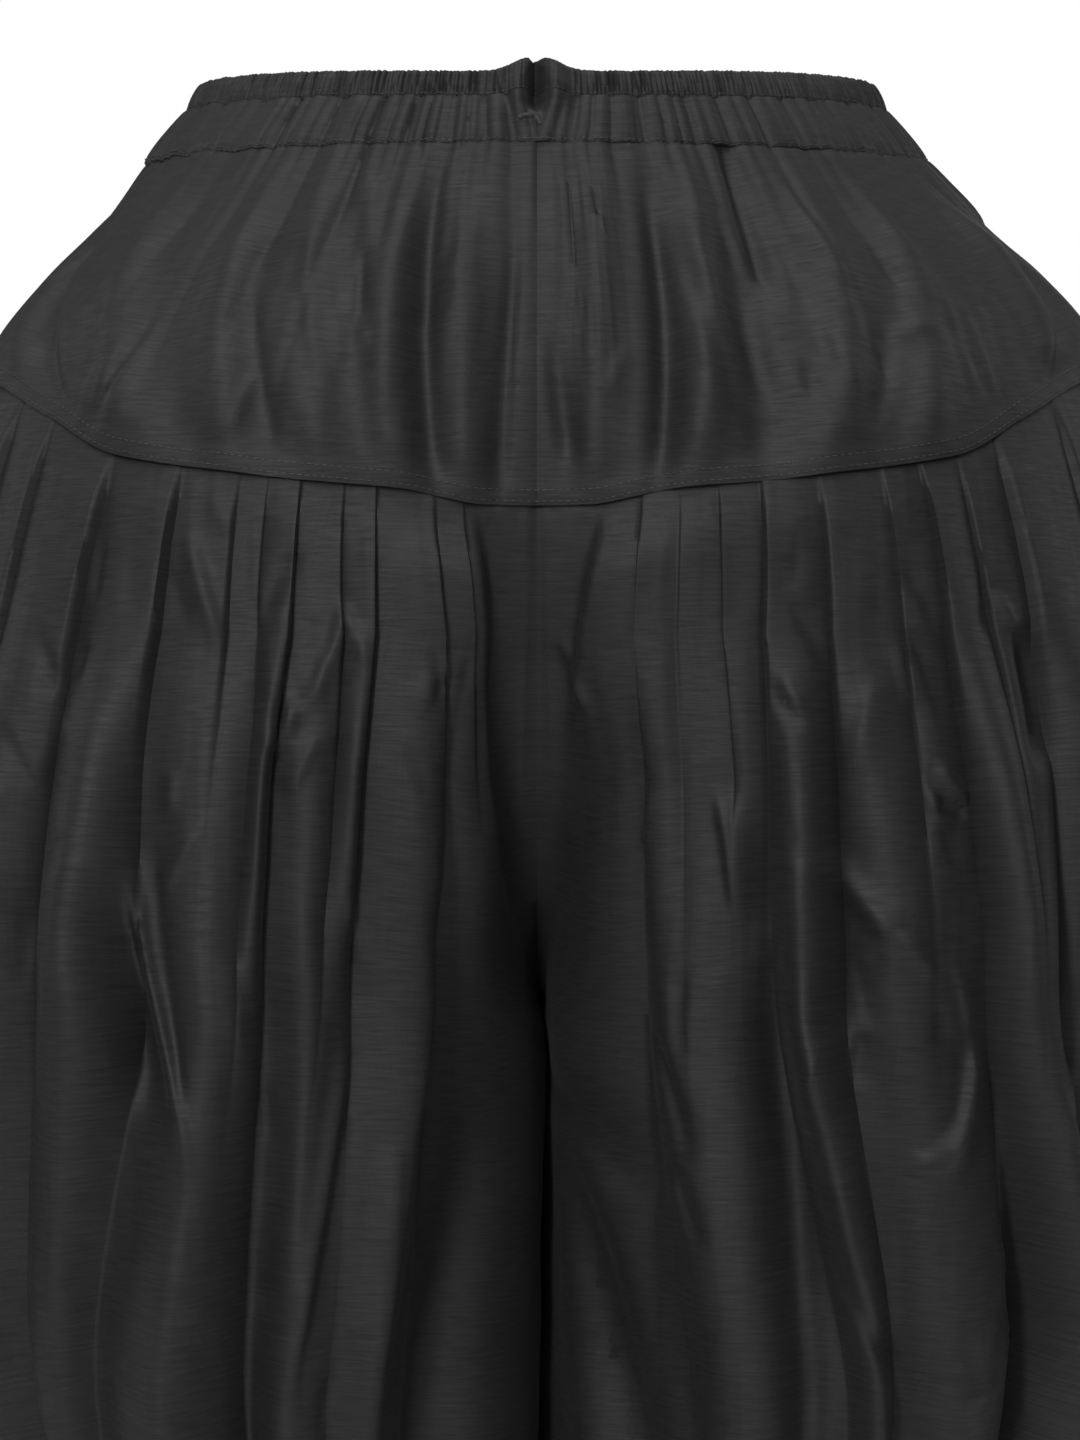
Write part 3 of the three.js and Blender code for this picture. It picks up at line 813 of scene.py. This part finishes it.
def leg_piece(name, side, back):
    """One leg panel: a grid whose columns follow the creases from the yoke down to the hem."""
    even = np.linspace(0, 1, LEG_ROWS)
    crotch = (CROTCH_DROP - YOKE_CENTRE_DROP) / (HEM_DROP - YOKE_CENTRE_DROP)
    level = even - 0.05 * (np.sin(2 * np.pi * (even - crotch)) + math.sin(2 * np.pi * crotch))
    crease, along, phase, depth, end = leg_columns(name, level)
    top = seam_drop(along) - TUCK
    drop = top + level[:, None] * (HEM_DROP - top)
    height = leg_heights(name, along, drop, crease, phase, depth, end)
    place = 1 - along if back else along
    points = smooth_points(place, drop)
    normal = outward(points, place, drop)
    if back:
        normal = -normal
    outer, inner = both_sides(points, normal, height, WALL)
    for grid in (outer, inner):
        grid[..., 0] = side * np.maximum(grid[..., 0], 0)
        lean_inside(grid, drop)
    cloth_name = name.replace("leg", "cloth")
    piece = wall_mesh(cloth_name, outer, inner, cloth_place(place, drop), (side < 0) != back, CLOTH)
    return piece, (along, drop, outer)


legs = {name: leg_piece(name, -1 if "right" in name else 1, "back" in name) for name in PLEATS}

# %% [markdown]
# The yoke is a deep belt that lies flat at the hips and is drawn in above by the drawstring. So its folds
# start as many small gathers under the casing, run together into a dozen soft ones and fade at the seam,
# where the cloth turns under and makes a low ridge.

# %% Folds of the yoke
YOKE_STROKES = {
    "yoke_right": table(STROKE_COLUMNS, [
        (0.46, 20, 0.46, 190, 0, 55, 55, -2),
        (0.205, 92, 0.157, 172, -2, 4, 8, -1.1),
        (0.186, 64, 0.132, 150, 2, 4, 8, -1.1),
        (0.152, 42, 0.109, 100, 0, 5, 6, 0.9),
        (0.448, 44, 0.277, 165, 5, 4, 14, -3),
        (0.059, 30, 0.036, 232, 0, 9, 9, 2.2),
        (0.120, 30, 0.070, 232, 0, 10, 10, 2.8),
        (0.088, 40, 0.051, 232, 0, 5, 7, -2.6),
        (0.194, 30, 0.094, 232, 3, 12, 12, 2.6),
        (0.253, 28, 0.154, 232, 0, 10, 12, 2.4),
        (0.366, 28, 0.184, 232, 3, 14, 14, 2.8),
        (0.44, 60, 0.36, 150, 3, 12, 12, 3),
        (0.012, 60, 0.022, 232, 2, 3, 5, -1.4),
        (0.56, 30, 0.55, 150, 0, 14, 14, 3),
        (0.63, 30, 0.66, 170, 0, 10, 12, -3),
        (0.70, 30, 0.739, 232, 0, 12, 14, 3),
        (0.77, 30, 0.809, 232, 2, 6, 9, -2.6),
        (0.84, 30, 0.865, 232, 0, 11, 12, 2.8),
        (0.90, 30, 0.925, 232, -2, 7, 8, -2.4),
        (0.82, 100, 0.86, 165, 2, 4, 6, -1.6),
        (0.69, 80, 0.74, 150, -2, 4, 6, -1.8),
    ]),
    "yoke_left": table(STROKE_COLUMNS, [
        (0.47, 20, 0.47, 170, 0, 50, 50, 2),
        (0.004, 110, 0.021, 176, 0, 4, 6, -2),
        (0.129, 62, 0.145, 148, -3, 4, 8, -1.4),
        (0.108, 78, 0.130, 156, -3, 4, 6, -1.0),
        (0.232, 119, 0.272, 111, 0, 4, 4, 0.7),
        (0.198, 162, 0.244, 104, -2, 4, 8, -1.0),
        (0.177, 20, 0.152, 110, 3, 5, 9, -3.2),
        (0.500, 38, 0.319, 156, 6, 4, 14, -4),
        (0.093, 40, 0.062, 232, 2, 5, 7, -3),
        (0.138, 30, 0.080, 232, 0, 10, 10, 2.8),
        (0.244, 30, 0.147, 232, 2, 12, 12, 3),
        (0.146, 60, 0.134, 215, 0, 8, 12, -2.2),
        (0.313, 30, 0.199, 232, 2, 10, 12, 2.6),
        (0.050, 28, 0.027, 232, 0, 8, 10, 1.8),
        (0.40, 44, 0.35, 150, 3, 10, 14, 3),
        (0.46, 60, 0.40, 120, -4, 4, 8, -2.6),
        (0.57, 30, 0.54, 150, 0, 14, 14, 3),
        (0.62, 30, 0.64, 160, 2, 9, 10, -2.8),
        (0.68, 30, 0.720, 232, 0, 12, 12, 3),
        (0.75, 30, 0.789, 232, -2, 7, 8, -2.8),
        (0.82, 30, 0.833, 232, 0, 12, 12, 2.6),
        (0.88, 30, 0.905, 232, 2, 6, 9, -2.6),
        (0.86, 110, 0.81, 170, -2, 4, 6, -1.7),
        (0.72, 90, 0.67, 150, 2, 4, 6, -1.8),
    ]),
}
print({name: len(rows["start"]) for name, rows in YOKE_STROKES.items()})

# %% Values of the yoke
YOKE_ROWS = 63
YOKE_STEPS = 330
YOKE_TUCK = 3
GATHER_PITCHES = (31, 13, 4.4)
GATHER_SEEDS = (201, 205, 209)
GATHER_FADE = 34
PUFF = 0.75
YOKE_DEPTH = 1.9
YOKE_SMALL_CREASES = (16, 50, 130)
YOKE_SMALL_GAIN = 0.8
PIN_FOLD_PITCH = 3.6
PIN_FOLD_DEPTH = 0.5
YOKE_SWELL = 0.35
MIDDLE_CALM = 9
MIDDLE_GROOVE = 0.45
MIDDLE_GROOVE_REACH = 1.6
SEAM_CALM = 22
SEAM_CALM_SHARE = 0.75
SEAM_LEVEL = 0.9
STRIP_THICKNESS = 0.6
TURNED_THICKNESS = 0.45
YOKE_RISE = 0.5
YOKE_TOP_DIP = 0.7
PIN_FOLDS = {"yoke_left": (0.018, 0.06, 46, 141), "yoke_right": (0.9, 0.96, 50, 130)}
YOKE_SEEDS = {"yoke_right": 71, "yoke_left": 83}
print("a yoke half has", YOKE_ROWS, "rows")

# %% Shape the yoke


def gathers(signed, pitch, seed):
    """Puffs of uneven width and depth round the waist, with narrow valleys about every pitch millimetres."""
    girth = signed * GIRTH
    uneven = girth / pitch + 0.9 * ripple(girth / (pitch * 3.1), np.full_like(girth, 0.5), seed)
    strength = 0.65 + 0.35 * ripple(girth / (pitch * 2.3), np.full_like(girth, 5.5), seed + 1)
    return strength * (2 * np.abs(np.sin(np.pi * uneven)) ** PUFF - 1)


def gathered(signed, wide, middle, narrow):
    """The same three sizes of gather in the casing and in the yoke below it, so that they run on."""
    heights = (wide, middle, narrow)
    sizes = zip(heights, GATHER_PITCHES, GATHER_SEEDS)
    return sum(height * gathers(signed, pitch, seed) for height, pitch, seed in sizes)


def yoke_heights(name, along, drop):
    """How far a yoke half stands out of the smooth form at each of its points."""
    seed = YOKE_SEEDS[name]
    from_casing, to_seam = drop - CASING_DROP, seam_drop(along) - drop
    fade = np.exp(-np.maximum(from_casing, 0) / GATHER_FADE)
    sway = 0.004 * ripple(along * GIRTH / 60, drop / 50, seed) * smoothstep(0, 20, from_casing)
    signed = (along + sway) * (-1 if name == "yoke_right" else 1)
    fuller = 1.1 + 0.7 * smoothstep(0, 25, from_casing)
    wide, narrow = fuller * np.exp(-from_casing / 90), 0.45 * np.exp(-from_casing / 12)
    height = gathered(signed, wide, 0.77 * fade, narrow)
    height -= 0.4 * np.exp(-np.maximum(from_casing, 0) / 2.5)
    height += YOKE_DEPTH * strokes(along, drop, YOKE_STROKES[name])
    from_middle = np.minimum(along, 1 - along)
    height += YOKE_SMALL_GAIN * strokes(from_middle, drop, small_creases(*YOKE_SMALL_CREASES, seed))
    start, end, top, bottom = PIN_FOLDS[name]
    band = between(start - 0.01, start + 0.01, end - 0.01, end + 0.01, along)
    band = band * between(top - 15, top + 10, bottom - 30, bottom + 10, drop)
    pin_folds = along * GIRTH / PIN_FOLD_PITCH + 0.5 * ripple(along * 40, drop / 30, seed)
    height += PIN_FOLD_DEPTH * band * np.sin(2 * np.pi * pin_folds)
    height += YOKE_SWELL * ripple(along * GIRTH / 24, drop / 150, seed + 5)
    height += FINE_CRUMPLE * ripple(along * GIRTH / 4, drop / 36, seed + 6)
    middle = from_middle * GIRTH
    height *= 1 - hump(middle, MIDDLE_CALM)
    height += (1 - smoothstep(0, SEAM_CALM, to_seam)) * SEAM_CALM_SHARE * (SEAM_LEVEL - height)
    height -= MIDDLE_GROOVE * hump(middle, MIDDLE_GROOVE_REACH)
    turned_edge = between(-0.5, 1.2, 6, 10, to_seam)
    strip = hump(middle - 3.5, 2.5) * (1 - smoothstep(60, 80, drop)) * (name == "yoke_right")
    height += STRIP_THICKNESS * strip + TURNED_THICKNESS * turned_edge + YOKE_RISE
    return height - YOKE_TOP_DIP * smoothstep(0.5, -1.5, from_casing)


def yoke_piece(name, side):
    """One half of the yoke, from under the casing to the seam."""
    along = np.broadcast_to(np.linspace(0, 1, YOKE_STEPS + 1), (YOKE_ROWS, YOKE_STEPS + 1)).copy()
    level = np.linspace(0, 1, YOKE_ROWS)[:, None]
    top = CASING_DROP - YOKE_TUCK
    drop = top + level * (seam_drop(along) - top)
    height = yoke_heights(name, along, drop)
    points = smooth_points(along, drop)
    normal = outward(points, along, drop)
    outer, inner = both_sides(points, normal, height, WALL)
    for grid in (outer, inner):
        grid[..., 0] = side * np.maximum(grid[..., 0], 0)
    piece = wall_mesh("cloth_" + name, outer, inner, cloth_place(along, drop), side < 0, CLOTH)
    return piece, (along, drop, outer)


yokes = {"yoke_right": yoke_piece("yoke_right", -1), "yoke_left": yoke_piece("yoke_left", 1)}

# %% [markdown]
# The waist is two tunnels of cloth, one round narrow elastic and one round the drawstring. A tunnel swells
# between its two rows of stitches and puckers at them. At the middle front a short slit lets the drawstring
# out, and the cloth bunches up into two lobes beside it.

# %% Make the frill and the casing
BUNCH_RISE = 6
FRONT_DIP = 4.5
DIP_WIDTH = 110
BUNCH_HALF_WIDTH = 12
LOBE_PLACE = 8
LOBE_WIDTH = 4.5
LOBE_HEIGHT = 4.2
SLIT_END_DROP = 21
SLIT_SLANT = 1.3
SLIT_TUCK = 6.5
SLIT_CALM = 13
TUNNEL_HEIGHTS = {"waist_frill": (1.3, 0.3), "drawstring_casing": (1.1, 0.6)}
TIGHT_PITCH = 3.3
TIGHT_SEED = 213
HALF_LENGTH = 0.5 * math.pi * (SECTIONS["outer"][0] + SECTIONS["front"][0])
BANDS = {
    "waist_frill": dict(rows=11, steps=1480, top=0, bottom=FRILL_DROP + 0.6, wall=2.2),
    "drawstring_casing": dict(rows=21, steps=960, top=FRILL_DROP, bottom=CASING_DROP, wall=1.6),
}
print("half the waist is", round(HALF_LENGTH), "mm")

# %% Shape the frill and the casing


def slit_half(drop):
    """Half the width of the slit at the middle front."""
    return 0.5 * (1 - smoothstep(2, SLIT_END_DROP, drop)) + 0.02


def band_heights(name, signed, from_front, drop, level):
    """How far a band stands out: its tunnel's swelling, its gathers, and the lobes and the slit in front."""
    tunnel = np.sin(np.pi * np.clip(level, 0, 1)) ** 0.6
    stitched = (1 - tunnel) * level
    swelling, rise = TUNNEL_HEIGHTS[name]
    if name == "waist_frill":
        height = gathered(signed, 0.3, 0.5, 0.5) + 0.8 * gathers(signed, TIGHT_PITCH, TIGHT_SEED)
        height = height * (0.8 + 0.2 * (1 - level)) + swelling * tunnel + rise
    else:
        bend = 0.002 + 0.012 * np.sign(from_front) * hump(from_front, 30)
        waves = gathered(signed - bend * (1 - level), 1.6, 1.1, 0.15)
        puckers = gathered(signed, 0, 0.15, 0.5) * stitched
        height = waves * (0.7 + 0.3 * tunnel) + puckers + swelling * tunnel + rise
        height -= 0.5 * level**8
    height *= 1 - hump((1 - np.abs(signed)) * GIRTH, 6)
    height -= 0.7 * (height - 1.2) * hump(from_front, SLIT_CALM) * (1 - smoothstep(8, 20, drop))
    lobe = hump(np.abs(from_front) - LOBE_PLACE, LOBE_WIDTH) * hump(drop - 9, 9)
    from_slit = np.maximum(0, np.abs(from_front) - slit_half(drop))
    tucked = hump(from_slit, 2.1) * (1 - smoothstep(15, 23, drop))
    return height + LOBE_HEIGHT * lobe - SLIT_TUCK * tucked


def band_piece(name):
    """A gathered band from one side of the slit, round the back, to the other side."""
    band = BANDS[name]
    level = np.broadcast_to(np.linspace(0, 1, band["rows"])[:, None], (band["rows"], band["steps"] + 1))
    drop = band["top"] + level * (band["bottom"] - band["top"])
    edge = slit_half(drop) / HALF_LENGTH
    around = edge + (2 - 2 * edge) * np.linspace(0, 1, band["steps"] + 1)
    left = around <= 1
    along = np.where(left, around, 2 - around)
    signed = np.where(left, along, -along)
    from_front = signed * HALF_LENGTH
    height = band_heights(name, signed, from_front, drop, level)
    points = smooth_points(along, drop)
    normal = outward(points, along + 1e-3, drop)
    for vectors in (points, normal):
        vectors[..., 0] *= np.where(left, 1, -1)
    normal *= np.sign((normal * points * (1, 1, 0)).sum(axis=-1))[..., None]
    outer, inner = both_sides(points, normal, height, band["wall"])
    rise = BUNCH_RISE * hump(from_front, BUNCH_HALF_WIDTH) * (1 - smoothstep(0, FRILL_DROP + 6, drop))
    rise -= FRONT_DIP * hump(from_front, DIP_WIDTH) * (1 - drop / CASING_DROP)
    slanting = hump(from_front, 2.6) * (1 - smoothstep(16, 24, drop))
    for grid, sideways in ((outer, -SLIT_SLANT), (inner, -2 * SLIT_SLANT)):
        grid[..., 2] += rise
        grid[..., 0] += sideways * slanting
    uv = np.stack([around * GIRTH / 2, drop], axis=-1) * MM
    cloth_name = name.replace("waist", "cloth").replace("drawstring", "cloth")
    return wall_mesh(cloth_name, outer, inner, uv, False, BAND_CLOTH), (around, drop, outer)


bands = {name: band_piece(name) for name in BANDS}

# %% [markdown]
# Stitches repeat by the thousand, so they are made by Geometry Nodes: a path along the cloth is cut to even
# lengths, a small thread capsule is set on each point along the path, and the instances are realized and
# given their material. Each seam becomes a plain mesh once it is made.

# %% Stitches by Geometry Nodes
STITCH_SIDES = 6


def stitch_tree():
    """Path in, thread stitches out."""
    tree = bpy.data.node_groups.new("stitches", "GeometryNodeTree")
    tree.interface.new_socket(name="Path", in_out="INPUT", socket_type="NodeSocketGeometry")
    for name in ("Pitch", "Length", "Thickness", "Turn"):
        tree.interface.new_socket(name=name, in_out="INPUT", socket_type="NodeSocketFloat")
    tree.interface.new_socket(name="Thread", in_out="INPUT", socket_type="NodeSocketMaterial")
    tree.interface.new_socket(name="Stitches", in_out="OUTPUT", socket_type="NodeSocketGeometry")
    nodes = tree.nodes
    inputs, outputs = nodes.new("NodeGroupInput"), nodes.new("NodeGroupOutput")
    curve = nodes.new("GeometryNodeMeshToCurve")
    even = nodes.new("GeometryNodeResampleCurve")
    even.mode = "LENGTH"
    capsule = nodes.new("GeometryNodeMeshUVSphere")
    capsule.inputs["Segments"].default_value = STITCH_SIDES
    capsule.inputs["Rings"].default_value = 4
    capsule.inputs["Radius"].default_value = 0.5
    shape = nodes.new("GeometryNodeTransform")
    scale = nodes.new("ShaderNodeCombineXYZ")
    tangent = nodes.new("GeometryNodeInputTangent")
    align = nodes.new("FunctionNodeAlignRotationToVector")
    align.axis = "Z"
    place = nodes.new("GeometryNodeInstanceOnPoints")
    turn = nodes.new("FunctionNodeRotateRotation")
    turn.rotation_space = "LOCAL"
    angle = nodes.new("ShaderNodeCombineXYZ")
    euler = nodes.new("FunctionNodeEulerToRotation")
    real = nodes.new("GeometryNodeRealizeInstances")
    coat = nodes.new("GeometryNodeSetMaterial")
    for source, output, target, socket in (
        (inputs, "Path", curve, "Mesh"),
        (curve, "Curve", even, "Curve"),
        (inputs, "Pitch", even, "Length"),
        (inputs, "Thickness", scale, "X"),
        (inputs, "Thickness", scale, "Y"),
        (inputs, "Length", scale, "Z"),
        (capsule, "Mesh", shape, "Geometry"),
        (scale, "Vector", shape, "Scale"),
        (tangent, "Tangent", align, "Vector"),
        (inputs, "Turn", angle, "Y"),
        (angle, "Vector", euler, "Euler"),
        (align, "Rotation", turn, "Rotation"),
        (euler, "Rotation", turn, "Rotate By"),
        (even, "Curve", place, "Points"),
        (shape, "Geometry", place, "Instance"),
        (turn, "Rotation", place, "Rotation"),
        (place, "Instances", real, "Geometry"),
        (real, "Geometry", coat, "Geometry"),
        (inputs, "Thread", coat, "Material"),
        (coat, "Geometry", outputs, "Stitches"),
    ):
        link(tree, source.outputs[output], target.inputs[socket])
    return tree


STITCHES = stitch_tree()


def stitch_piece(name, paths, pitch, length, thickness, turn=0.0):
    """Stitches along one or more paths of points in millimetres. Lengths are in millimetres too."""
    mesh = bpy.data.meshes.new(name + "_path")
    starts = np.cumsum([0] + [len(path) for path in paths])
    edges = [(int(s + k), int(s + k + 1)) for s, path in zip(starts, paths) for k in range(len(path) - 1)]
    mesh.from_pydata((np.concatenate(paths) * MM).tolist(), edges, [])
    path_object = bpy.data.objects.new(name + "_path", mesh)
    bpy.context.scene.collection.objects.link(path_object)
    modifier = path_object.modifiers.new("stitches", "NODES")
    modifier.node_group = STITCHES
    values = {"Pitch": pitch * MM, "Length": length * MM, "Thickness": thickness * MM}
    values |= {"Turn": turn, "Thread": THREAD}
    for item in STITCHES.interface.items_tree:
        if item.in_out == "INPUT" and item.name in values:
            modifier[item.identifier] = values[item.name]
    evaluated = path_object.evaluated_get(bpy.context.evaluated_depsgraph_get())
    made = bpy.data.meshes.new_from_object(evaluated)
    bpy.data.objects.remove(path_object)
    made.name = name
    made.shade_smooth()
    piece = bpy.data.objects.new(name, made)
    bpy.context.scene.collection.objects.link(piece)
    print(name, "faces", len(made.polygons))
    return piece


def row_on(grid, distance_up, lift, columns=slice(None)):
    """Points on a piece's outer surface, a given distance above its lower edge, lifted off the cloth."""
    along, drop, outer = grid
    picked = []
    for column in range(outer.shape[1])[columns]:
        wanted = drop[-1, column] - distance_up
        picked.append([np.interp(wanted, drop[:, column], outer[:, column, axis]) for axis in range(3)])
    points = np.array(picked)
    away = points * (1, 1, 0)
    away[:, 0] *= 0.6
    return points + lift * away / np.linalg.norm(away, axis=1, keepdims=True)


# %% [markdown]
# The rows of stitches lie on the pieces' outer surfaces, a few millimetres above their lower edges: two rows
# on the yoke, one on each tunnel and four round each hem. The pale spot under the slit is made as a bar tack,
# an arc of stitches set side by side across its path.

# %% Sew the seams
YOKE_STITCH_ROWS = (1.8, 6.4)
HEM_STITCH_ROWS = (4, 11, 18, 25)
BAR_TACK_LIFT = 0.9
seams = [
    stitch_piece(
        "stitches_yoke_seam",
        [row_on(yokes[name][1], up, 0.15) for name in yokes for up in YOKE_STITCH_ROWS],
        pitch=3.2, length=2.5, thickness=0.45,
    ),
    stitch_piece(
        "stitches_casing",
        [row_on(bands["drawstring_casing"][1], 1.2, 0.15)],
        pitch=2.6, length=2.0, thickness=0.45,
    ),
    stitch_piece(
        "stitches_frill",
        [row_on(bands["waist_frill"][1], 1.4, 0.1)],
        pitch=2.6, length=2.0, thickness=0.4,
    ),
    stitch_piece(
        "stitches_hems",
        [row_on(legs[name][1], up, 0.12) for name in legs for up in HEM_STITCH_ROWS],
        pitch=3.2, length=2.5, thickness=0.45,
    ),
]

# %% Sew the bar tack
BAR_PATH = [(-7.2, 24.6), (-6.2, 23.8), (-4.6, 23.4), (-2.6, 23.5), (-0.9, 24.2), (0.4, 25.3), (1.3, 27)]
bar_points = []
_, casing_drop, casing_outer = bands["drawstring_casing"][1]
for bar_x, bar_drop in BAR_PATH:
    row = int(np.argmin(np.abs(casing_drop[:, 0] - bar_drop)))
    front = casing_outer[row][casing_outer[row][:, 1] < 0]
    nearest = front[np.argmin(np.abs(front[:, 0] - bar_x))]
    bar_points.append((bar_x, nearest[1] - BAR_TACK_LIFT, HELD_DROP - bar_drop))
bar_tack = [np.array(bar_points)]
seams.append(stitch_piece("bar_tack", bar_tack, pitch=0.5, length=2.1, thickness=0.62, turn=math.pi / 2))

# %% [markdown]
# Every sheet is declared with the size that its cloth was cut to. The panels are wider flat than they look
# worn, because the pleats and gathers take up cloth.

SHEETS = {
    **dict.fromkeys(legs, dict(flat=(0.56, 0.86), area=0.38, held="gathered")),
    **dict.fromkeys(yokes, dict(flat=(0.72, 0.16), area=0.106, held="gathered")),
    "waist_frill": dict(flat=(1.30, 0.013), area=None, held="gathered"),
    "drawstring_casing": dict(flat=(1.30, 0.024), area=None, held="gathered"),
}
for node, (piece, _) in {**legs, **yokes, **bands}.items():
    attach(piece, "root")
    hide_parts(node)
for piece in seams:
    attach(piece, "root")
print("declared", len(SHEETS), "sheets and", len(seams), "groups of stitches")

# %% [markdown]
# The picture has a pure white ground and a soft light, mostly from the left and above. Black cloth shows its
# folds by reflection, so the light is a few large soft panels, and the world is white for the camera but dim
# for the cloth. The floor is pale and lies a little below the hems.

# %% Light
LIGHT_SPREAD = math.radians(110)
FLOOR_LIGHT_SPREAD = math.radians(60)


def soft_panel(name, place, target, size, power, spread=LIGHT_SPREAD):
    """A large lamp at a place, facing a target, with its size in metres and its power in watts."""
    light = bpy.data.lights.new(name, "AREA")
    light.shape = "RECTANGLE"
    light.size, light.size_y = size
    light.energy = power
    light.spread = spread
    lamp = bpy.data.objects.new(name, light)
    lamp.location = place
    direction = np.array(target, float) - np.array(place, float)
    flat = math.hypot(direction[0], direction[1])
    tilt = math.pi / 2 + math.atan2(direction[2], flat)
    heading = math.atan2(direction[1], direction[0]) - math.pi / 2
    lamp.rotation_euler = (tilt, 0, heading)
    bpy.context.scene.collection.objects.link(lamp)


soft_panel("left strip", (-0.75, -2.2, 0.7), (0, 0, -0.3), (0.35, 1.6), 11)
soft_panel("right strip", (1.1, -2.1, 0.7), (0, 0, -0.3), (0.3, 1.6), 1.8)
soft_panel("high panel", (-0.1, -1.5, 1.8), (0, 0, -0.2), (0.9, 0.5), 3)
soft_panel("back panel", (0.3, 2.6, 1.3), (0, 0, -0.3), (0.8, 1.6), 10)
for side in (-1, 1):
    soft_panel("side panel", (2.4 * side, 0.7, 0.9), (0, 0, -0.4), (1, 1.6), 4)
soft_panel("floor panel", (0, 0.5, 3), (0, 0.5, -1), (8, 8), 90, FLOOR_LIGHT_SPREAD)

# %% Floor
FLOOR_BELOW = 0.09
FLOOR_HALF = 2.5

floor_z = (HELD_DROP - HEM_DROP) * MM - FLOOR_BELOW
floor_mesh = bpy.data.meshes.new("floor")
floor_corners = [(x * FLOOR_HALF, y * FLOOR_HALF, floor_z) for x, y in ((-1, -1), (1, -1), (1, 1), (-1, 1))]
floor_mesh.from_pydata(floor_corners, [], [(0, 1, 2, 3)])
floor_material = bpy.data.materials.new("pale floor")
floor_material.use_nodes = True
floor_shader = floor_material.node_tree.nodes["Principled BSDF"]
floor_shader.inputs["Base Color"].default_value = (0.82, 0.82, 0.81, 1)
floor_shader.inputs["Roughness"].default_value = 0.7
floor_mesh.materials.append(floor_material)
floor = bpy.data.objects.new("floor", floor_mesh)
bpy.context.scene.collection.objects.link(floor)

# %% Background
WORLD_GLOW = 0.03

world = bpy.data.worlds.new("studio")
world.use_nodes = True
bpy.context.scene.world = world
world_nodes = world.node_tree.nodes
seen, glow = world_nodes["Background"], world_nodes.new("ShaderNodeBackground")
seen.inputs["Color"].default_value = (1, 1, 1, 1)
glow.inputs["Color"].default_value = (0.95, 0.97, 1, 1)
glow.inputs["Strength"].default_value = WORLD_GLOW
path = world_nodes.new("ShaderNodeLightPath")
choose = world_nodes.new("ShaderNodeMixShader")
link(world.node_tree, path.outputs["Is Camera Ray"], choose.inputs[0])
link(world.node_tree, glow.outputs[0], choose.inputs[1])
link(world.node_tree, seen.outputs[0], choose.inputs[2])
link(world.node_tree, choose.outputs[0], world_nodes["World Output"].inputs["Surface"])
bpy.context.scene.view_settings.view_transform = "Standard"
